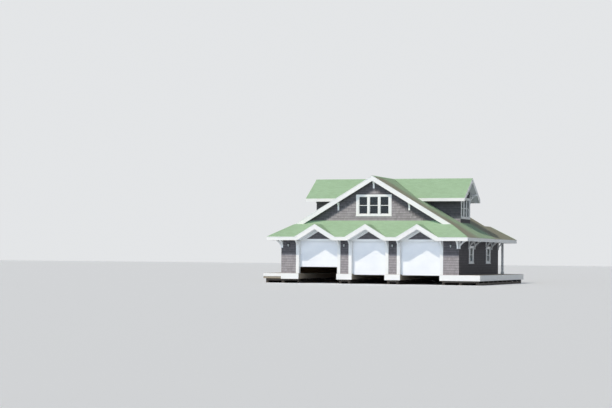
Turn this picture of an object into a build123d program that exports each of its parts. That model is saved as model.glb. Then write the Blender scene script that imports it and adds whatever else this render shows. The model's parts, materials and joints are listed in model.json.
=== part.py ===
from build123d import *
import math
import os

# Boathouse with three slips. X runs to the right, Y from the water side to the land side, Z up from the
# waterline. The origin is the middle of the plan, at the waterline where the cribs stand. Lengths are in
# millimetres.

# Ground storey
building_width = 13400
body_depth = 12100
porch_depth = 2000
wall_thickness = 160
deck_height = 710
upper_floor_height = 2620
upper_floor_thickness = 200

# Roof. Heights are above the deck, and depths of roof slabs are measured plumb.
eave_height = 2670
eave_overhang = 865
roof_pitch = 30.7
roof_depth = 255
fascia_height = 255
fascia_thickness = 28
drip_mould_height = 40
drip_mould_proud = 15
gable_setback = 1200
gable_overhang = 475
gable_barge_height = 385
barge_thickness = 45
rear_skirt_run = 1750
valley_width = 60
ridge_cap_half_width = 150
ridge_cap_thickness = 25

# Gablets over the boat doors
gablet_rise = 930
gablet_barge_height = 370

# Cross gable that makes the two dormers
cross_gable_half_span = 2410
cross_gable_pitch = 32.7
dormer_wall_reach = 5620
dormer_overhang = 560
dormer_width = 2840
dormer_barge_height = 330
dormer_fascia_height = 230

# Boat doors
door_pitch = 3850
side_door_width = 2955
middle_door_width = 2550
door_head_height = 2370
door_recess = 300
door_leaf_thickness = 50
door_leaf_lap = 25
door_leaf_rise = 200
raised_door_bottom = 460
closed_door_drop = 80
door_seal_clearance = 20
door_lining = 30
door_section_height = 500
door_groove_width = 12
door_groove_depth = 8
casing_width = 235
casing_thickness = 30
header_height = 150

# Decks, finger piers and cribs
walkway_reach = 8274
left_walkway_setback = 500
slip_length = 10500
finger_pier_width = 1160
pier_nosing = 90
rear_deck_margin = 90
deck_frame_depth = 390
deck_board_thickness = 40
rim_thickness = 60
joist_thickness = 50
joist_spacing = 600
skirt_height = 410
skirt_thickness = 30
crib_inset = 150
crib_timber = 180
crib_tie_spacing = 1500
crib_courses = 2

# Windows: casing sizes outside, then the sashes
upper_window_width = 2710
upper_window_height = 1590
upper_pane_width = 510
upper_pane_pitch = 810
gable_sill_clearance = 314
dormer_sill_clearance = 295
ground_window_width = 1400
ground_window_height = 1300
ground_pane_width = 780
ground_sill_height = 810
window_head_casing = 190
window_lap = 150
sash_stile = 45
sash_recess = 25
sash_depth = 60
meeting_rail = 90
sill_height = 50
sill_proud = 55
glass_thickness = 8
side_window_positions = [3585, 8815]
rear_window_offset = 3850

# Rear door
rear_door_width = 920
rear_door_height = 2040
rear_door_casing = 120
rear_door_stop = 20
rear_door_leaf_thickness = 45
rear_door_panel_inset = 140
rear_door_panel_depth = 10

# Knee braces
bracket_width = 120
bracket_reach = 640
bracket_drop = 1060
bracket_leg = 90
bracket_brace = 85
bracket_sag = 70
gable_bracket_reach = 415
gable_bracket_drop = 700
gable_bracket_offset = 2700
side_bracket_positions = [80, 2800, 4430, 8030, 9770, 12020]
corner_bracket_inset = 70

# Porch and lamps
porch_post = 165
porch_beam_height = 240
porch_post_spacing = 4410
post_base_height = 180
post_base_proud = 30
post_cap_height = 60
post_cap_proud = 18
lantern_height = 2050
lantern_width = 130
lantern_body = 210
lantern_foot = 90
lantern_offset = 60
lantern_plate = 20
lantern_plate_width = 80
lantern_plate_height = 150
lantern_arm = 30
lantern_cap_angle = 30

os.makedirs("parts", exist_ok=True)

# Lines worked out from the driving sizes
slope = math.tan(math.radians(roof_pitch))
cross_slope = math.tan(math.radians(cross_gable_pitch))
half_width = building_width / 2
eave_half = half_width + eave_overhang
overall_depth = body_depth + porch_depth + 2 * eave_overhang
front_y = eave_overhang - overall_depth / 2
rear_y = front_y + body_depth
porch_y = rear_y + porch_depth
front_eave_y = front_y - eave_overhang
rear_eave_y = porch_y + eave_overhang
body_middle_y = (front_y + rear_y) / 2
front_gable_y = front_y + gable_setback
rear_gable_y = rear_y - gable_setback
fascia_depth = fascia_thickness + drip_mould_proud
barge_depth = barge_thickness + drip_mould_proud
front_slab_y = front_gable_y - gable_overhang + barge_depth
rear_slab_y = rear_gable_y + gable_overhang - barge_depth
slab_half = eave_half - fascia_depth

deck_top = deck_height
eave_z = deck_top + eave_height
ridge_z = eave_z + slope * eave_half
door_head_z = deck_top + door_head_height
floor_bottom_z = deck_top + upper_floor_height
floor_top_z = floor_bottom_z + upper_floor_thickness
rear_top_z = eave_z + slope * rear_skirt_run
deck_bottom = deck_top - deck_frame_depth
sky_z = ridge_z + roof_depth
door_centres = [-door_pitch, 0, door_pitch]
door_widths = [side_door_width, middle_door_width, side_door_width]
gablet_half = gablet_rise / slope
gablet_z = eave_z + gablet_rise
dormer_rake_reach = dormer_wall_reach + dormer_overhang


def main_top(x):
    return ridge_z - slope * abs(x)


def main_under(x):
    return main_top(x) - roof_depth


def front_top(y):
    return eave_z + slope * (y - front_eave_y)


def front_under(y):
    return front_top(y) - roof_depth


def rear_top(y):
    return eave_z + slope * (rear_eave_y - y)


def rear_under(y):
    return rear_top(y) - roof_depth


def cross_top(y):
    return ridge_z - cross_slope * abs(y - body_middle_y)


def cross_under(y):
    return cross_top(y) - roof_depth


def facing_front(y):
    """Plane across the building at y: a sketch there is in X and Z, and extrudes towards the water."""
    return Plane(origin=(0, y, 0), x_dir=(1, 0, 0), z_dir=(0, -1, 0))


def facing_right(x):
    """Plane along the building at x: a sketch there is in Y and Z, and extrudes to the right."""
    return Plane(origin=(x, 0, 0), x_dir=(0, 1, 0), z_dir=(1, 0, 0))


def prism_along_y(points, y_start, y_end):
    """Solid with an outline in X and Z, from y_start back to y_end."""
    with BuildPart() as prism:
        with BuildSketch(facing_front(y_start)):
            Polygon(*points)
        extrude(amount=y_start - y_end)
    return prism.part


def prism_along_x(points, x_start, x_end):
    """Solid with an outline in Y and Z, from x_start to x_end."""
    with BuildPart() as prism:
        with BuildSketch(facing_right(x_start)):
            Polygon(*points)
        extrude(amount=x_end - x_start)
    return prism.part


def prism_upright(points, z_start, z_end):
    """Solid with a plan outline in X and Y, from z_start up to z_end."""
    with BuildPart() as prism:
        with BuildSketch(Plane.XY.offset(z_start)):
            Polygon(*points)
        extrude(amount=z_end - z_start)
    return prism.part


def block(x_range, y_range, z_range):
    """Rectangular solid between three pairs of limits."""
    left, right = x_range
    near, far = y_range
    return prism_upright([(left, near), (right, near), (right, far), (left, far)], z_range[0], z_range[1])


def save(builder, name):
    builder.part.label = name
    export_step(builder.part, f"parts/{name}.step")


# Volumes under the roof slopes, which give every wall, post and bracket its sloped top
under_main = prism_along_y(
    [(-eave_half, 0), (eave_half, 0), (eave_half, main_under(eave_half)), (0, main_under(0)),
     (-eave_half, main_under(eave_half))],
    front_eave_y, rear_eave_y,
)
under_rear_slope = prism_along_x(
    [(front_eave_y, 0), (rear_eave_y, 0), (rear_eave_y, rear_under(rear_eave_y)),
     (front_eave_y, rear_under(front_eave_y))],
    -eave_half, eave_half,
)
above_front_slope = prism_along_x(
    [(front_eave_y, front_top(front_eave_y)), (rear_eave_y, front_top(rear_eave_y)),
     (front_eave_y, front_top(rear_eave_y))],
    -eave_half, eave_half,
)


# Dormer roofs: the right half of the cross gable, then its mirror image
dormer_slab_end = dormer_rake_reach - barge_depth
cross_slab_half = cross_gable_half_span - fascia_depth
valley_ratio = cross_slope / slope
valley_reach = valley_ratio * cross_slab_half - valley_width
dormer_plan = [
    (0, body_middle_y - valley_width),
    (valley_reach, body_middle_y - cross_slab_half),
    (dormer_slab_end, body_middle_y - cross_slab_half),
    (dormer_slab_end, body_middle_y + cross_slab_half),
    (valley_reach, body_middle_y + cross_slab_half),
    (0, body_middle_y + valley_width),
]
cross_left_y = body_middle_y - cross_slab_half
cross_right_y = body_middle_y + cross_slab_half

with BuildPart() as right_dormer_roof:
    with BuildSketch(facing_right(0)):
        Polygon(
            (cross_left_y, cross_under(cross_left_y)),
            (body_middle_y, cross_under(body_middle_y)),
            (cross_right_y, cross_under(cross_right_y)),
            (cross_right_y, cross_top(cross_right_y)),
            (body_middle_y, ridge_z),
            (cross_left_y, cross_top(cross_left_y)),
        )
    extrude(amount=dormer_slab_end)
    with BuildSketch(Plane.XY):
        Polygon(*dormer_plan)
    extrude(amount=sky_z, mode=Mode.INTERSECT)
save(right_dormer_roof, "right_dormer_roof")

with BuildPart() as left_dormer_roof:
    mirror(right_dormer_roof.part, about=Plane.YZ)
save(left_dormer_roof, "left_dormer_roof")

# Space that the dormer takes out of the main slope: its roof and all above it, and the room between its walls
with BuildPart() as dormer_space:
    with BuildSketch(facing_right(0)):
        Polygon(
            (cross_left_y, cross_under(cross_left_y)),
            (body_middle_y, cross_under(body_middle_y)),
            (cross_right_y, cross_under(cross_right_y)),
            (cross_right_y, sky_z),
            (cross_left_y, sky_z),
        )
    extrude(amount=dormer_slab_end)
    with BuildSketch(Plane.XY):
        Polygon(*dormer_plan)
    extrude(amount=sky_z, mode=Mode.INTERSECT)

dormer_half = dormer_width / 2
room_valley_reach = valley_ratio * dormer_half - valley_width
dormer_room = prism_upright(
    [
        (0, body_middle_y - valley_width),
        (room_valley_reach, body_middle_y - dormer_half),
        (dormer_wall_reach, body_middle_y - dormer_half),
        (dormer_wall_reach, body_middle_y + dormer_half),
        (room_valley_reach, body_middle_y + dormer_half),
        (0, body_middle_y + valley_width),
    ],
    0, sky_z,
)

# Main slopes, mitred to the front slope along the hips and to the rear skirt
with BuildPart() as main_roof_right:
    with BuildSketch(facing_front(front_eave_y + fascia_depth)):
        Polygon(
            (0, main_under(0)),
            (slab_half, main_under(slab_half)),
            (slab_half, main_top(slab_half)),
            (0, ridge_z),
        )
    extrude(amount=-(overall_depth - 2 * fascia_depth))
    with BuildSketch(Plane.XY):
        Polygon(
            (0, front_slab_y),
            (eave_half - (front_slab_y - front_eave_y), front_slab_y),
            (slab_half, front_eave_y + fascia_depth),
            (slab_half, rear_eave_y - fascia_depth),
            (eave_half - rear_skirt_run, rear_eave_y - rear_skirt_run),
            (eave_half - rear_skirt_run, rear_slab_y),
            (0, rear_slab_y),
        )
    extrude(amount=sky_z, mode=Mode.INTERSECT)
    add(dormer_space.part, mode=Mode.SUBTRACT)
    add(dormer_room, mode=Mode.SUBTRACT)
save(main_roof_right, "main_roof_right")

with BuildPart() as main_roof_left:
    mirror(main_roof_right.part, about=Plane.YZ)
save(main_roof_left, "main_roof_left")

# Front slope below the gable, notched for the three gablets
pent_back_half = eave_half - (front_gable_y - front_eave_y)
pent_front_y = front_eave_y + fascia_depth

with BuildPart() as gablet_footprint:
    with BuildSketch(Plane.XY):
        for centre in door_centres:
            Polygon(
                (centre - gablet_half, front_eave_y),
                (centre + gablet_half, front_eave_y),
                (centre, front_eave_y + gablet_half),
            )
    extrude(amount=sky_z)

with BuildPart() as front_pent_roof:
    with BuildSketch(facing_right(-eave_half)):
        Polygon(
            (pent_front_y, front_under(pent_front_y)),
            (front_gable_y, front_under(front_gable_y)),
            (front_gable_y, front_top(front_gable_y)),
            (pent_front_y, front_top(pent_front_y)),
        )
    extrude(amount=2 * eave_half)
    with BuildSketch(Plane.XY):
        Polygon(
            (-slab_half, pent_front_y),
            (slab_half, pent_front_y),
            (pent_back_half, front_gable_y),
            (-pent_back_half, front_gable_y),
        )
    extrude(amount=sky_z, mode=Mode.INTERSECT)
    add(gablet_footprint.part, mode=Mode.SUBTRACT)
    add(main_roof_right.part, mode=Mode.SUBTRACT)
    add(main_roof_left.part, mode=Mode.SUBTRACT)
save(front_pent_roof, "front_pent_roof")

# Rear skirt over the porch, with hips at both corners, and the flat roof behind it
skirt_top_y = rear_eave_y - rear_skirt_run
skirt_top_half = eave_half - rear_skirt_run
skirt_back_y = rear_eave_y - fascia_depth

with BuildPart() as rear_pent_roof:
    with BuildSketch(facing_right(-eave_half)):
        Polygon(
            (skirt_top_y, rear_under(skirt_top_y)),
            (skirt_back_y, rear_under(skirt_back_y)),
            (skirt_back_y, rear_top(skirt_back_y)),
            (skirt_top_y, rear_top(skirt_top_y)),
        )
    extrude(amount=2 * eave_half)
    with BuildSketch(Plane.XY):
        Polygon(
            (-slab_half, skirt_back_y),
            (slab_half, skirt_back_y),
            (skirt_top_half, skirt_top_y),
            (-skirt_top_half, skirt_top_y),
        )
    extrude(amount=sky_z, mode=Mode.INTERSECT)
save(rear_pent_roof, "rear_pent_roof")

with BuildPart() as rear_flat_roof:
    add(
        block(
            (-skirt_top_half, skirt_top_half),
            (rear_gable_y, skirt_top_y),
            (rear_top_z - roof_depth, rear_top_z),
        )
    )
    add(main_roof_right.part, mode=Mode.SUBTRACT)
    add(main_roof_left.part, mode=Mode.SUBTRACT)
save(rear_flat_roof, "rear_flat_roof")

# Gablet roofs, one small gable over each boat door
gablet_slab_half = gablet_half - fascia_depth

with BuildPart() as gablet_roofs:
    for centre in door_centres:
        with BuildSketch(facing_front(pent_front_y)):
            Polygon(
                (centre - gablet_half, eave_z - roof_depth),
                (centre, gablet_z - roof_depth),
                (centre + gablet_half, eave_z - roof_depth),
                (centre + gablet_half, eave_z),
                (centre, gablet_z),
                (centre - gablet_half, eave_z),
            )
        extrude(amount=-(gablet_half - fascia_depth))
    with BuildSketch(Plane.XY):
        for centre in door_centres:
            Polygon(
                (centre - gablet_slab_half, pent_front_y),
                (centre + gablet_slab_half, pent_front_y),
                (centre, front_eave_y + gablet_half),
            )
    extrude(amount=sky_z, mode=Mode.INTERSECT)
save(gablet_roofs, "gablet_roofs")


# Ridge caps: the cross of the main and dormer ridges, and one on each gablet
def cap_section(centre, top, fall):
    edge = top - fall * ridge_cap_half_width
    return [
        (centre - ridge_cap_half_width, edge),
        (centre, top),
        (centre + ridge_cap_half_width, edge),
        (centre + ridge_cap_half_width, edge + ridge_cap_thickness),
        (centre, top + ridge_cap_thickness),
        (centre - ridge_cap_half_width, edge + ridge_cap_thickness),
    ]


main_cap = prism_along_y(
    cap_section(0, ridge_z, slope), front_slab_y - barge_depth, rear_slab_y + barge_depth
)
cross_cap = prism_along_x(
    cap_section(body_middle_y, ridge_z, cross_slope), -dormer_rake_reach, dormer_rake_reach
)
gablet_caps = [
    prism_along_y(cap_section(centre, gablet_z, slope), front_eave_y, front_eave_y + gablet_half)
    for centre in door_centres
]

with BuildPart() as ridge_caps:
    for cap in gablet_caps:
        add(cap)
    add(above_front_slope, mode=Mode.INTERSECT)
    add(main_cap)
    add(cross_cap)
    for slab in [main_roof_right, main_roof_left, right_dormer_roof, left_dormer_roof]:
        add(slab.part, mode=Mode.SUBTRACT)
save(ridge_caps, "ridge_caps")

# Eave fascia: a ring with a drip mould along its top, open where the gablets stand, and the dormer eaves
with BuildPart() as eave_fascia:
    with BuildSketch(Plane.XY.offset(eave_z - drip_mould_height)):
        Rectangle(2 * eave_half, overall_depth)
        Rectangle(2 * slab_half, overall_depth - 2 * fascia_depth, mode=Mode.SUBTRACT)
    extrude(amount=drip_mould_height)
    with BuildSketch(Plane.XY.offset(eave_z - fascia_height)):
        Rectangle(2 * (eave_half - drip_mould_proud), overall_depth - 2 * drip_mould_proud)
        Rectangle(2 * slab_half, overall_depth - 2 * fascia_depth, mode=Mode.SUBTRACT)
    extrude(amount=fascia_height)
    add(gablet_footprint.part, mode=Mode.SUBTRACT)
save(eave_fascia, "eave_fascia")


# Barge boards
def barge_outline(centre, top, half, height, foot, fall):
    """Pair of boards that meet at a ridge and are cut level at the foot."""
    inner_half = (top - height - foot) / fall
    return [
        (centre - half, foot),
        (centre - half, top - fall * half),
        (centre, top),
        (centre + half, top - fall * half),
        (centre + half, foot),
        (centre + inner_half, foot),
        (centre, top - height),
        (centre - inner_half, foot),
    ]


def drip_outline(centre, top, half, fall):
    """Strip along the top edge of a pair of barge boards."""
    edge = top - fall * half
    return [
        (centre - half, edge - drip_mould_height),
        (centre - half, edge),
        (centre, top),
        (centre + half, edge),
        (centre + half, edge - drip_mould_height),
        (centre, top - drip_mould_height),
    ]


hip_half = eave_half - (front_slab_y - barge_depth - front_eave_y)
gable_foot_z = front_top(front_slab_y - barge_depth) - roof_depth
gable_board_y = front_slab_y - barge_thickness
above_rear_roof = block((-eave_half, eave_half), (rear_gable_y, rear_eave_y), (rear_top_z, sky_z))
rear_half = (ridge_z - rear_top_z) / slope

with BuildPart() as front_barge:
    with BuildSketch(facing_front(gable_board_y)):
        Polygon(*barge_outline(0, ridge_z, hip_half, gable_barge_height, gable_foot_z, slope))
    extrude(amount=-barge_thickness)
    with BuildSketch(facing_front(gable_board_y - drip_mould_proud)):
        Polygon(*drip_outline(0, ridge_z, hip_half, slope))
    extrude(amount=-drip_mould_proud)
    add(above_front_slope, mode=Mode.INTERSECT)

with BuildPart() as rear_barge:
    with BuildSketch(facing_front(rear_slab_y)):
        Polygon(
            *barge_outline(0, ridge_z, rear_half, gable_barge_height, rear_top_z - roof_depth, slope)
        )
    extrude(amount=-barge_thickness)
    with BuildSketch(facing_front(rear_slab_y + barge_thickness)):
        Polygon(*drip_outline(0, ridge_z, rear_half, slope))
    extrude(amount=-drip_mould_proud)
    add(above_rear_roof, mode=Mode.INTERSECT)

with BuildPart() as gable_barge_boards:
    add(front_barge.part)
    add(rear_barge.part)
save(gable_barge_boards, "gable_barge_boards")

with BuildPart() as gablet_barge_boards:
    for centre in door_centres:
        with BuildSketch(facing_front(front_eave_y + drip_mould_proud)):
            Polygon(
                *barge_outline(
                    centre, gablet_z, gablet_half, gablet_barge_height, eave_z - fascia_height, slope
                )
            )
        extrude(amount=-fascia_thickness)
        with BuildSketch(facing_front(front_eave_y)):
            Polygon(*drip_outline(centre, gablet_z, gablet_half, slope))
        extrude(amount=-drip_mould_proud)
    add(gablet_footprint.part, mode=Mode.INTERSECT)
save(gablet_barge_boards, "gablet_barge_boards")

# Dormer barge boards and eaves, each eave dying into the main slope
dormer_board_x = dormer_slab_end
dormer_eave_z = cross_top(body_middle_y + cross_gable_half_span)


def main_slope_x(z):
    """Distance from the ridge at which the main slope is at height z."""
    return (ridge_z - z) / slope


with BuildPart() as right_dormer_trim:
    with BuildSketch(facing_right(dormer_board_x)):
        Polygon(
            *barge_outline(
                body_middle_y, ridge_z, cross_gable_half_span,
                dormer_barge_height, dormer_eave_z - dormer_fascia_height, cross_slope,
            )
        )
    extrude(amount=barge_thickness)
    with BuildSketch(facing_right(dormer_board_x + barge_thickness)):
        Polygon(*drip_outline(body_middle_y, ridge_z, cross_gable_half_span, cross_slope))
    extrude(amount=drip_mould_proud)
    for eave_y in [body_middle_y - cross_gable_half_span, body_middle_y + cross_slab_half]:
        with BuildSketch(facing_front(eave_y)):
            Polygon(
                (main_slope_x(dormer_eave_z), dormer_eave_z),
                (main_slope_x(dormer_eave_z - dormer_fascia_height), dormer_eave_z - dormer_fascia_height),
                (dormer_board_x, dormer_eave_z - dormer_fascia_height),
                (dormer_board_x, dormer_eave_z),
            )
        extrude(amount=-fascia_depth)

with BuildPart() as dormer_barge_boards:
    add(right_dormer_trim.part)
    mirror(right_dormer_trim.part, about=Plane.YZ)
save(dormer_barge_boards, "dormer_barge_boards")

# Decks: boards on rims and joists, open below
slip_back_y = front_y + slip_length
deck_front_y = front_y - pier_nosing
deck_back_y = porch_y + rear_deck_margin
slip_edges = [
    centre + side * width / 2
    for centre, width in zip(door_centres, door_widths)
    for side in (-1, 1)
]
pier_lap = (finger_pier_width - (slip_edges[2] - slip_edges[1])) / 2
left_deck_edge = slip_edges[0]
right_deck_edge = slip_edges[5]
side_skirt_x = walkway_reach - skirt_thickness


def deck_frame(x_range, y_range):
    """Deck with its rim, and joists across its shorter way, seen as pockets from below."""
    width = x_range[1] - x_range[0]
    depth = y_range[1] - y_range[0]
    along_x = width > depth
    run = width if along_x else depth
    span = depth if along_x else width
    bays = max(1, round((run - rim_thickness) / joist_spacing))
    bay = (run - 2 * rim_thickness - (bays - 1) * joist_thickness) / bays
    pocket = span - 2 * rim_thickness
    middle = ((x_range[0] + x_range[1]) / 2, (y_range[0] + y_range[1]) / 2)
    with BuildPart() as deck:
        with BuildSketch(Plane.XY.offset(deck_bottom)):
            with Locations(middle):
                Rectangle(width, depth)
        extrude(amount=deck_frame_depth)
        with BuildSketch(Plane.XY.offset(deck_bottom)):
            with Locations(middle):
                if along_x:
                    with GridLocations(bay + joist_thickness, 1, bays, 1):
                        Rectangle(bay, pocket)
                else:
                    with GridLocations(1, bay + joist_thickness, 1, bays):
                        Rectangle(pocket, bay)
        extrude(amount=deck_frame_depth - deck_board_thickness, mode=Mode.SUBTRACT)
    return deck.part


with BuildPart() as deck_right:
    add(deck_frame((right_deck_edge, side_skirt_x), (deck_front_y, slip_back_y)))
save(deck_right, "deck_right")

with BuildPart() as deck_left:
    add(deck_frame((-walkway_reach, -half_width), (deck_front_y + left_walkway_setback, slip_back_y)))
    add(deck_frame((-half_width, left_deck_edge), (deck_front_y, slip_back_y)))
save(deck_left, "deck_left")

pier_centres = [(slip_edges[1] + slip_edges[2]) / 2, (slip_edges[3] + slip_edges[4]) / 2]

with BuildPart() as finger_piers:
    for centre in pier_centres:
        add(
            deck_frame(
                (centre - finger_pier_width / 2, centre + finger_pier_width / 2), (deck_front_y, slip_back_y)
            )
        )
save(finger_piers, "finger_piers")

with BuildPart() as deck_rear:
    add(deck_frame((-walkway_reach, side_skirt_x), (slip_back_y, deck_back_y)))
save(deck_rear, "deck_rear")

# White skirt boards on the front ends of the decks
skirt_spans = [
    (-half_width, left_deck_edge),
    (pier_centres[0] - finger_pier_width / 2, pier_centres[0] + finger_pier_width / 2),
    (pier_centres[1] - finger_pier_width / 2, pier_centres[1] + finger_pier_width / 2),
    (right_deck_edge, walkway_reach),
]

with BuildPart() as deck_skirts:
    for span in skirt_spans:
        add(block(span, (deck_front_y - skirt_thickness, deck_front_y), (deck_top - skirt_height, deck_top)))
    add(
        block((side_skirt_x, walkway_reach), (deck_front_y, deck_back_y), (deck_top - skirt_height, deck_top))
    )
save(deck_skirts, "deck_skirts")


# Cribs: courses of squared timbers laid crosswise, from the waterline to the deck frames
def crib(x_range, y_range):
    """Long timbers at the sides below, and cross ties above them, up to the deck frame."""
    width = x_range[1] - x_range[0]
    depth = y_range[1] - y_range[0]
    course = deck_bottom / crib_courses
    middle = ((x_range[0] + x_range[1]) / 2, (y_range[0] + y_range[1]) / 2)
    ties_x = max(2, round(width / crib_tie_spacing) + 1)
    ties_y = max(2, round(depth / crib_tie_spacing) + 1)
    with BuildPart() as timbers:
        with BuildSketch(Plane.XY):
            with Locations(middle):
                with GridLocations((width - crib_timber) / (ties_x - 1), 1, ties_x, 1):
                    Rectangle(crib_timber, depth)
        extrude(amount=course)
        with BuildSketch(Plane.XY.offset(course)):
            with Locations(middle):
                with GridLocations(1, (depth - crib_timber) / (ties_y - 1), 1, ties_y):
                    Rectangle(width, crib_timber)
        extrude(amount=course)
    return timbers.part


crib_front_y = deck_front_y + crib_inset
crib_back_y = slip_back_y

with BuildPart() as crib_right:
    add(crib((right_deck_edge + crib_inset, walkway_reach - crib_inset), (crib_front_y, crib_back_y)))
save(crib_right, "crib_right")

with BuildPart() as crib_left:
    add(
        crib(
            (-walkway_reach + crib_inset, left_deck_edge - crib_inset),
            (crib_front_y + left_walkway_setback, crib_back_y),
        )
    )
save(crib_left, "crib_left")

with BuildPart() as crib_piers:
    for centre in pier_centres:
        reach = finger_pier_width / 2 - crib_inset
        add(crib((centre - reach, centre + reach), (crib_front_y, crib_back_y)))
save(crib_piers, "crib_piers")

with BuildPart() as crib_rear:
    add(
        crib(
            (-walkway_reach + crib_inset, walkway_reach - crib_inset),
            (crib_back_y + crib_inset, deck_back_y - crib_inset),
        )
    )
save(crib_rear, "crib_rear")

# Front wall: piers between the boat doors, and one wall over them with the gablet triangles
inner_front_y = front_y + wall_thickness
inner_rear_y = rear_y - wall_thickness
pier_spans = [
    (-half_width, slip_edges[0] - door_lining),
    (slip_edges[1] + door_lining, slip_edges[2] - door_lining),
    (slip_edges[3] + door_lining, slip_edges[4] - door_lining),
    (slip_edges[5] + door_lining, half_width),
]
wall_head_z = door_head_z + door_lining

with BuildPart() as front_piers:
    for span in pier_spans:
        add(block(span, (front_y, inner_front_y), (deck_top, wall_head_z)))
save(front_piers, "front_piers")

with BuildPart() as front_wall_top:
    with BuildSketch(facing_right(-half_width)):
        Polygon(
            (front_y, wall_head_z),
            (inner_front_y, wall_head_z),
            (inner_front_y, front_under(inner_front_y)),
            (front_y, front_under(front_y)),
        )
    extrude(amount=building_width)
    for centre in door_centres:
        with BuildSketch(facing_front(front_y)):
            Polygon(
                (centre - gablet_half, eave_z - roof_depth),
                (centre + gablet_half, eave_z - roof_depth),
                (centre, gablet_z - roof_depth),
            )
        extrude(amount=-wall_thickness)
    add(under_main, mode=Mode.INTERSECT)
save(front_wall_top, "front_wall_top")


# Windows: a casing on the wall's face, sashes set back in the hole, and a glass sheet behind
def window_hole(width, height):
    return width - 2 * window_lap, height - 2 * window_lap


def facing_out(x, y, z, normal):
    """Plane on a wall's face at a window's centre, with X level and Y up."""
    across = Vector(0, 0, 1).cross(Vector(*normal))
    return Plane(origin=(x, y, z), x_dir=across, z_dir=normal)


def window_frame(face, size, pane_width, pane_pitch, columns):
    """One frame with its casing, sill and double-hung sashes in columns."""
    width, height = size
    hole_width, hole_height = window_hole(width, height)
    opening_height = height - 2 * window_head_casing
    pane_height = (opening_height - meeting_rail - 2 * sash_stile) / 2
    with BuildPart() as frame:
        with BuildSketch(face):
            Rectangle(width, height)
        extrude(amount=casing_thickness)
        with BuildSketch(face):
            Rectangle(hole_width, hole_height)
        extrude(amount=-sash_depth)
        with BuildSketch(face):
            with Locations((0, -height / 2 + sill_height / 2)):
                Rectangle(width + 2 * casing_thickness, sill_height)
        extrude(amount=sill_proud)
        with BuildSketch(face.offset(casing_thickness)):
            with GridLocations(pane_pitch, 1, columns, 1):
                Rectangle(pane_width + 2 * sash_stile, opening_height)
        extrude(amount=-(casing_thickness + sash_recess), mode=Mode.SUBTRACT)
        with BuildSketch(face.offset(casing_thickness)):
            with GridLocations(pane_pitch, pane_height + meeting_rail, columns, 2):
                Rectangle(pane_width, pane_height)
        extrude(amount=-(casing_thickness + sash_depth), mode=Mode.SUBTRACT)
    return frame.part


def glass_sheet(face, size):
    hole_width, hole_height = window_hole(*size)
    with BuildPart() as sheet:
        with BuildSketch(face.offset(-sash_depth)):
            Rectangle(hole_width, hole_height)
        extrude(amount=-glass_thickness)
    return sheet.part


def hole_cutter(face, size, depth):
    """Solid that cuts a window's hole through a wall of this thickness."""
    hole_width, hole_height = window_hole(*size)
    with BuildPart() as cutter:
        with BuildSketch(face):
            Rectangle(hole_width, hole_height)
        extrude(amount=-depth)
    return cutter.part


upper_size = (upper_window_width, upper_window_height)
ground_size = (ground_window_width, ground_window_height)
gable_window_z = front_top(front_gable_y) + gable_sill_clearance + upper_window_height / 2
dormer_window_z = main_top(dormer_wall_reach) + dormer_sill_clearance + upper_window_height / 2
ground_window_z = deck_top + ground_sill_height + ground_window_height / 2
gable_faces = [
    facing_out(0, front_gable_y, gable_window_z, (0, -1, 0)),
    facing_out(0, rear_gable_y, gable_window_z, (0, 1, 0)),
]
dormer_faces = [
    facing_out(dormer_wall_reach, body_middle_y, dormer_window_z, (1, 0, 0)),
    facing_out(-dormer_wall_reach, body_middle_y, dormer_window_z, (-1, 0, 0)),
]
right_faces = [
    facing_out(half_width, front_y + place, ground_window_z, (1, 0, 0)) for place in side_window_positions
]
left_faces = [
    facing_out(-half_width, front_y + place, ground_window_z, (-1, 0, 0)) for place in side_window_positions
]
rear_faces = [
    facing_out(side * rear_window_offset, rear_y, ground_window_z, (0, 1, 0)) for side in (-1, 1)
]

# Side and rear walls of the ground storey
side_wall_top = main_under(half_width)
side_cutters = [hole_cutter(face, ground_size, wall_thickness) for face in right_faces]

with BuildPart() as right_wall:
    with BuildSketch(facing_front(inner_front_y)):
        Polygon(
            (half_width - wall_thickness, deck_top),
            (half_width, deck_top),
            (half_width, side_wall_top),
            (half_width - wall_thickness, main_under(half_width - wall_thickness)),
        )
    extrude(amount=-(inner_rear_y - inner_front_y))
    for cutter in side_cutters:
        add(cutter, mode=Mode.SUBTRACT)
save(right_wall, "right_wall")

with BuildPart() as left_wall:
    mirror(right_wall.part, about=Plane.YZ)
save(left_wall, "left_wall")

rear_cutters = [hole_cutter(face, ground_size, wall_thickness) for face in rear_faces]
doorway = block(
    (-rear_door_width / 2, rear_door_width / 2),
    (inner_rear_y, rear_y),
    (deck_top, deck_top + rear_door_height),
)

with BuildPart() as rear_wall:
    with BuildSketch(facing_front(inner_rear_y)):
        Polygon(
            (-half_width, deck_top),
            (half_width, deck_top),
            (half_width, side_wall_top),
            (skirt_top_half, rear_top_z - roof_depth),
            (-skirt_top_half, rear_top_z - roof_depth),
            (-half_width, side_wall_top),
        )
    extrude(amount=-wall_thickness)
    for cutter in rear_cutters:
        add(cutter, mode=Mode.SUBTRACT)
    add(doorway, mode=Mode.SUBTRACT)
save(rear_wall, "rear_wall")

with BuildPart() as upper_floor:
    add(
        block(
            (-half_width + wall_thickness, half_width - wall_thickness),
            (inner_front_y, inner_rear_y),
            (floor_bottom_z, floor_top_z),
        )
    )
save(upper_floor, "upper_floor")

# Gable walls of the upper storey
inner_half = half_width - wall_thickness
gable_cutter = hole_cutter(gable_faces[0], upper_size, wall_thickness)

with BuildPart() as front_gable_wall:
    with BuildSketch(facing_front(front_gable_y)):
        Polygon(
            (-inner_half, floor_top_z),
            (inner_half, floor_top_z),
            (inner_half, main_under(inner_half)),
            (0, main_under(0)),
            (-inner_half, main_under(inner_half)),
        )
    extrude(amount=-wall_thickness)
    add(gable_cutter, mode=Mode.SUBTRACT)
save(front_gable_wall, "front_gable_wall")

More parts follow.
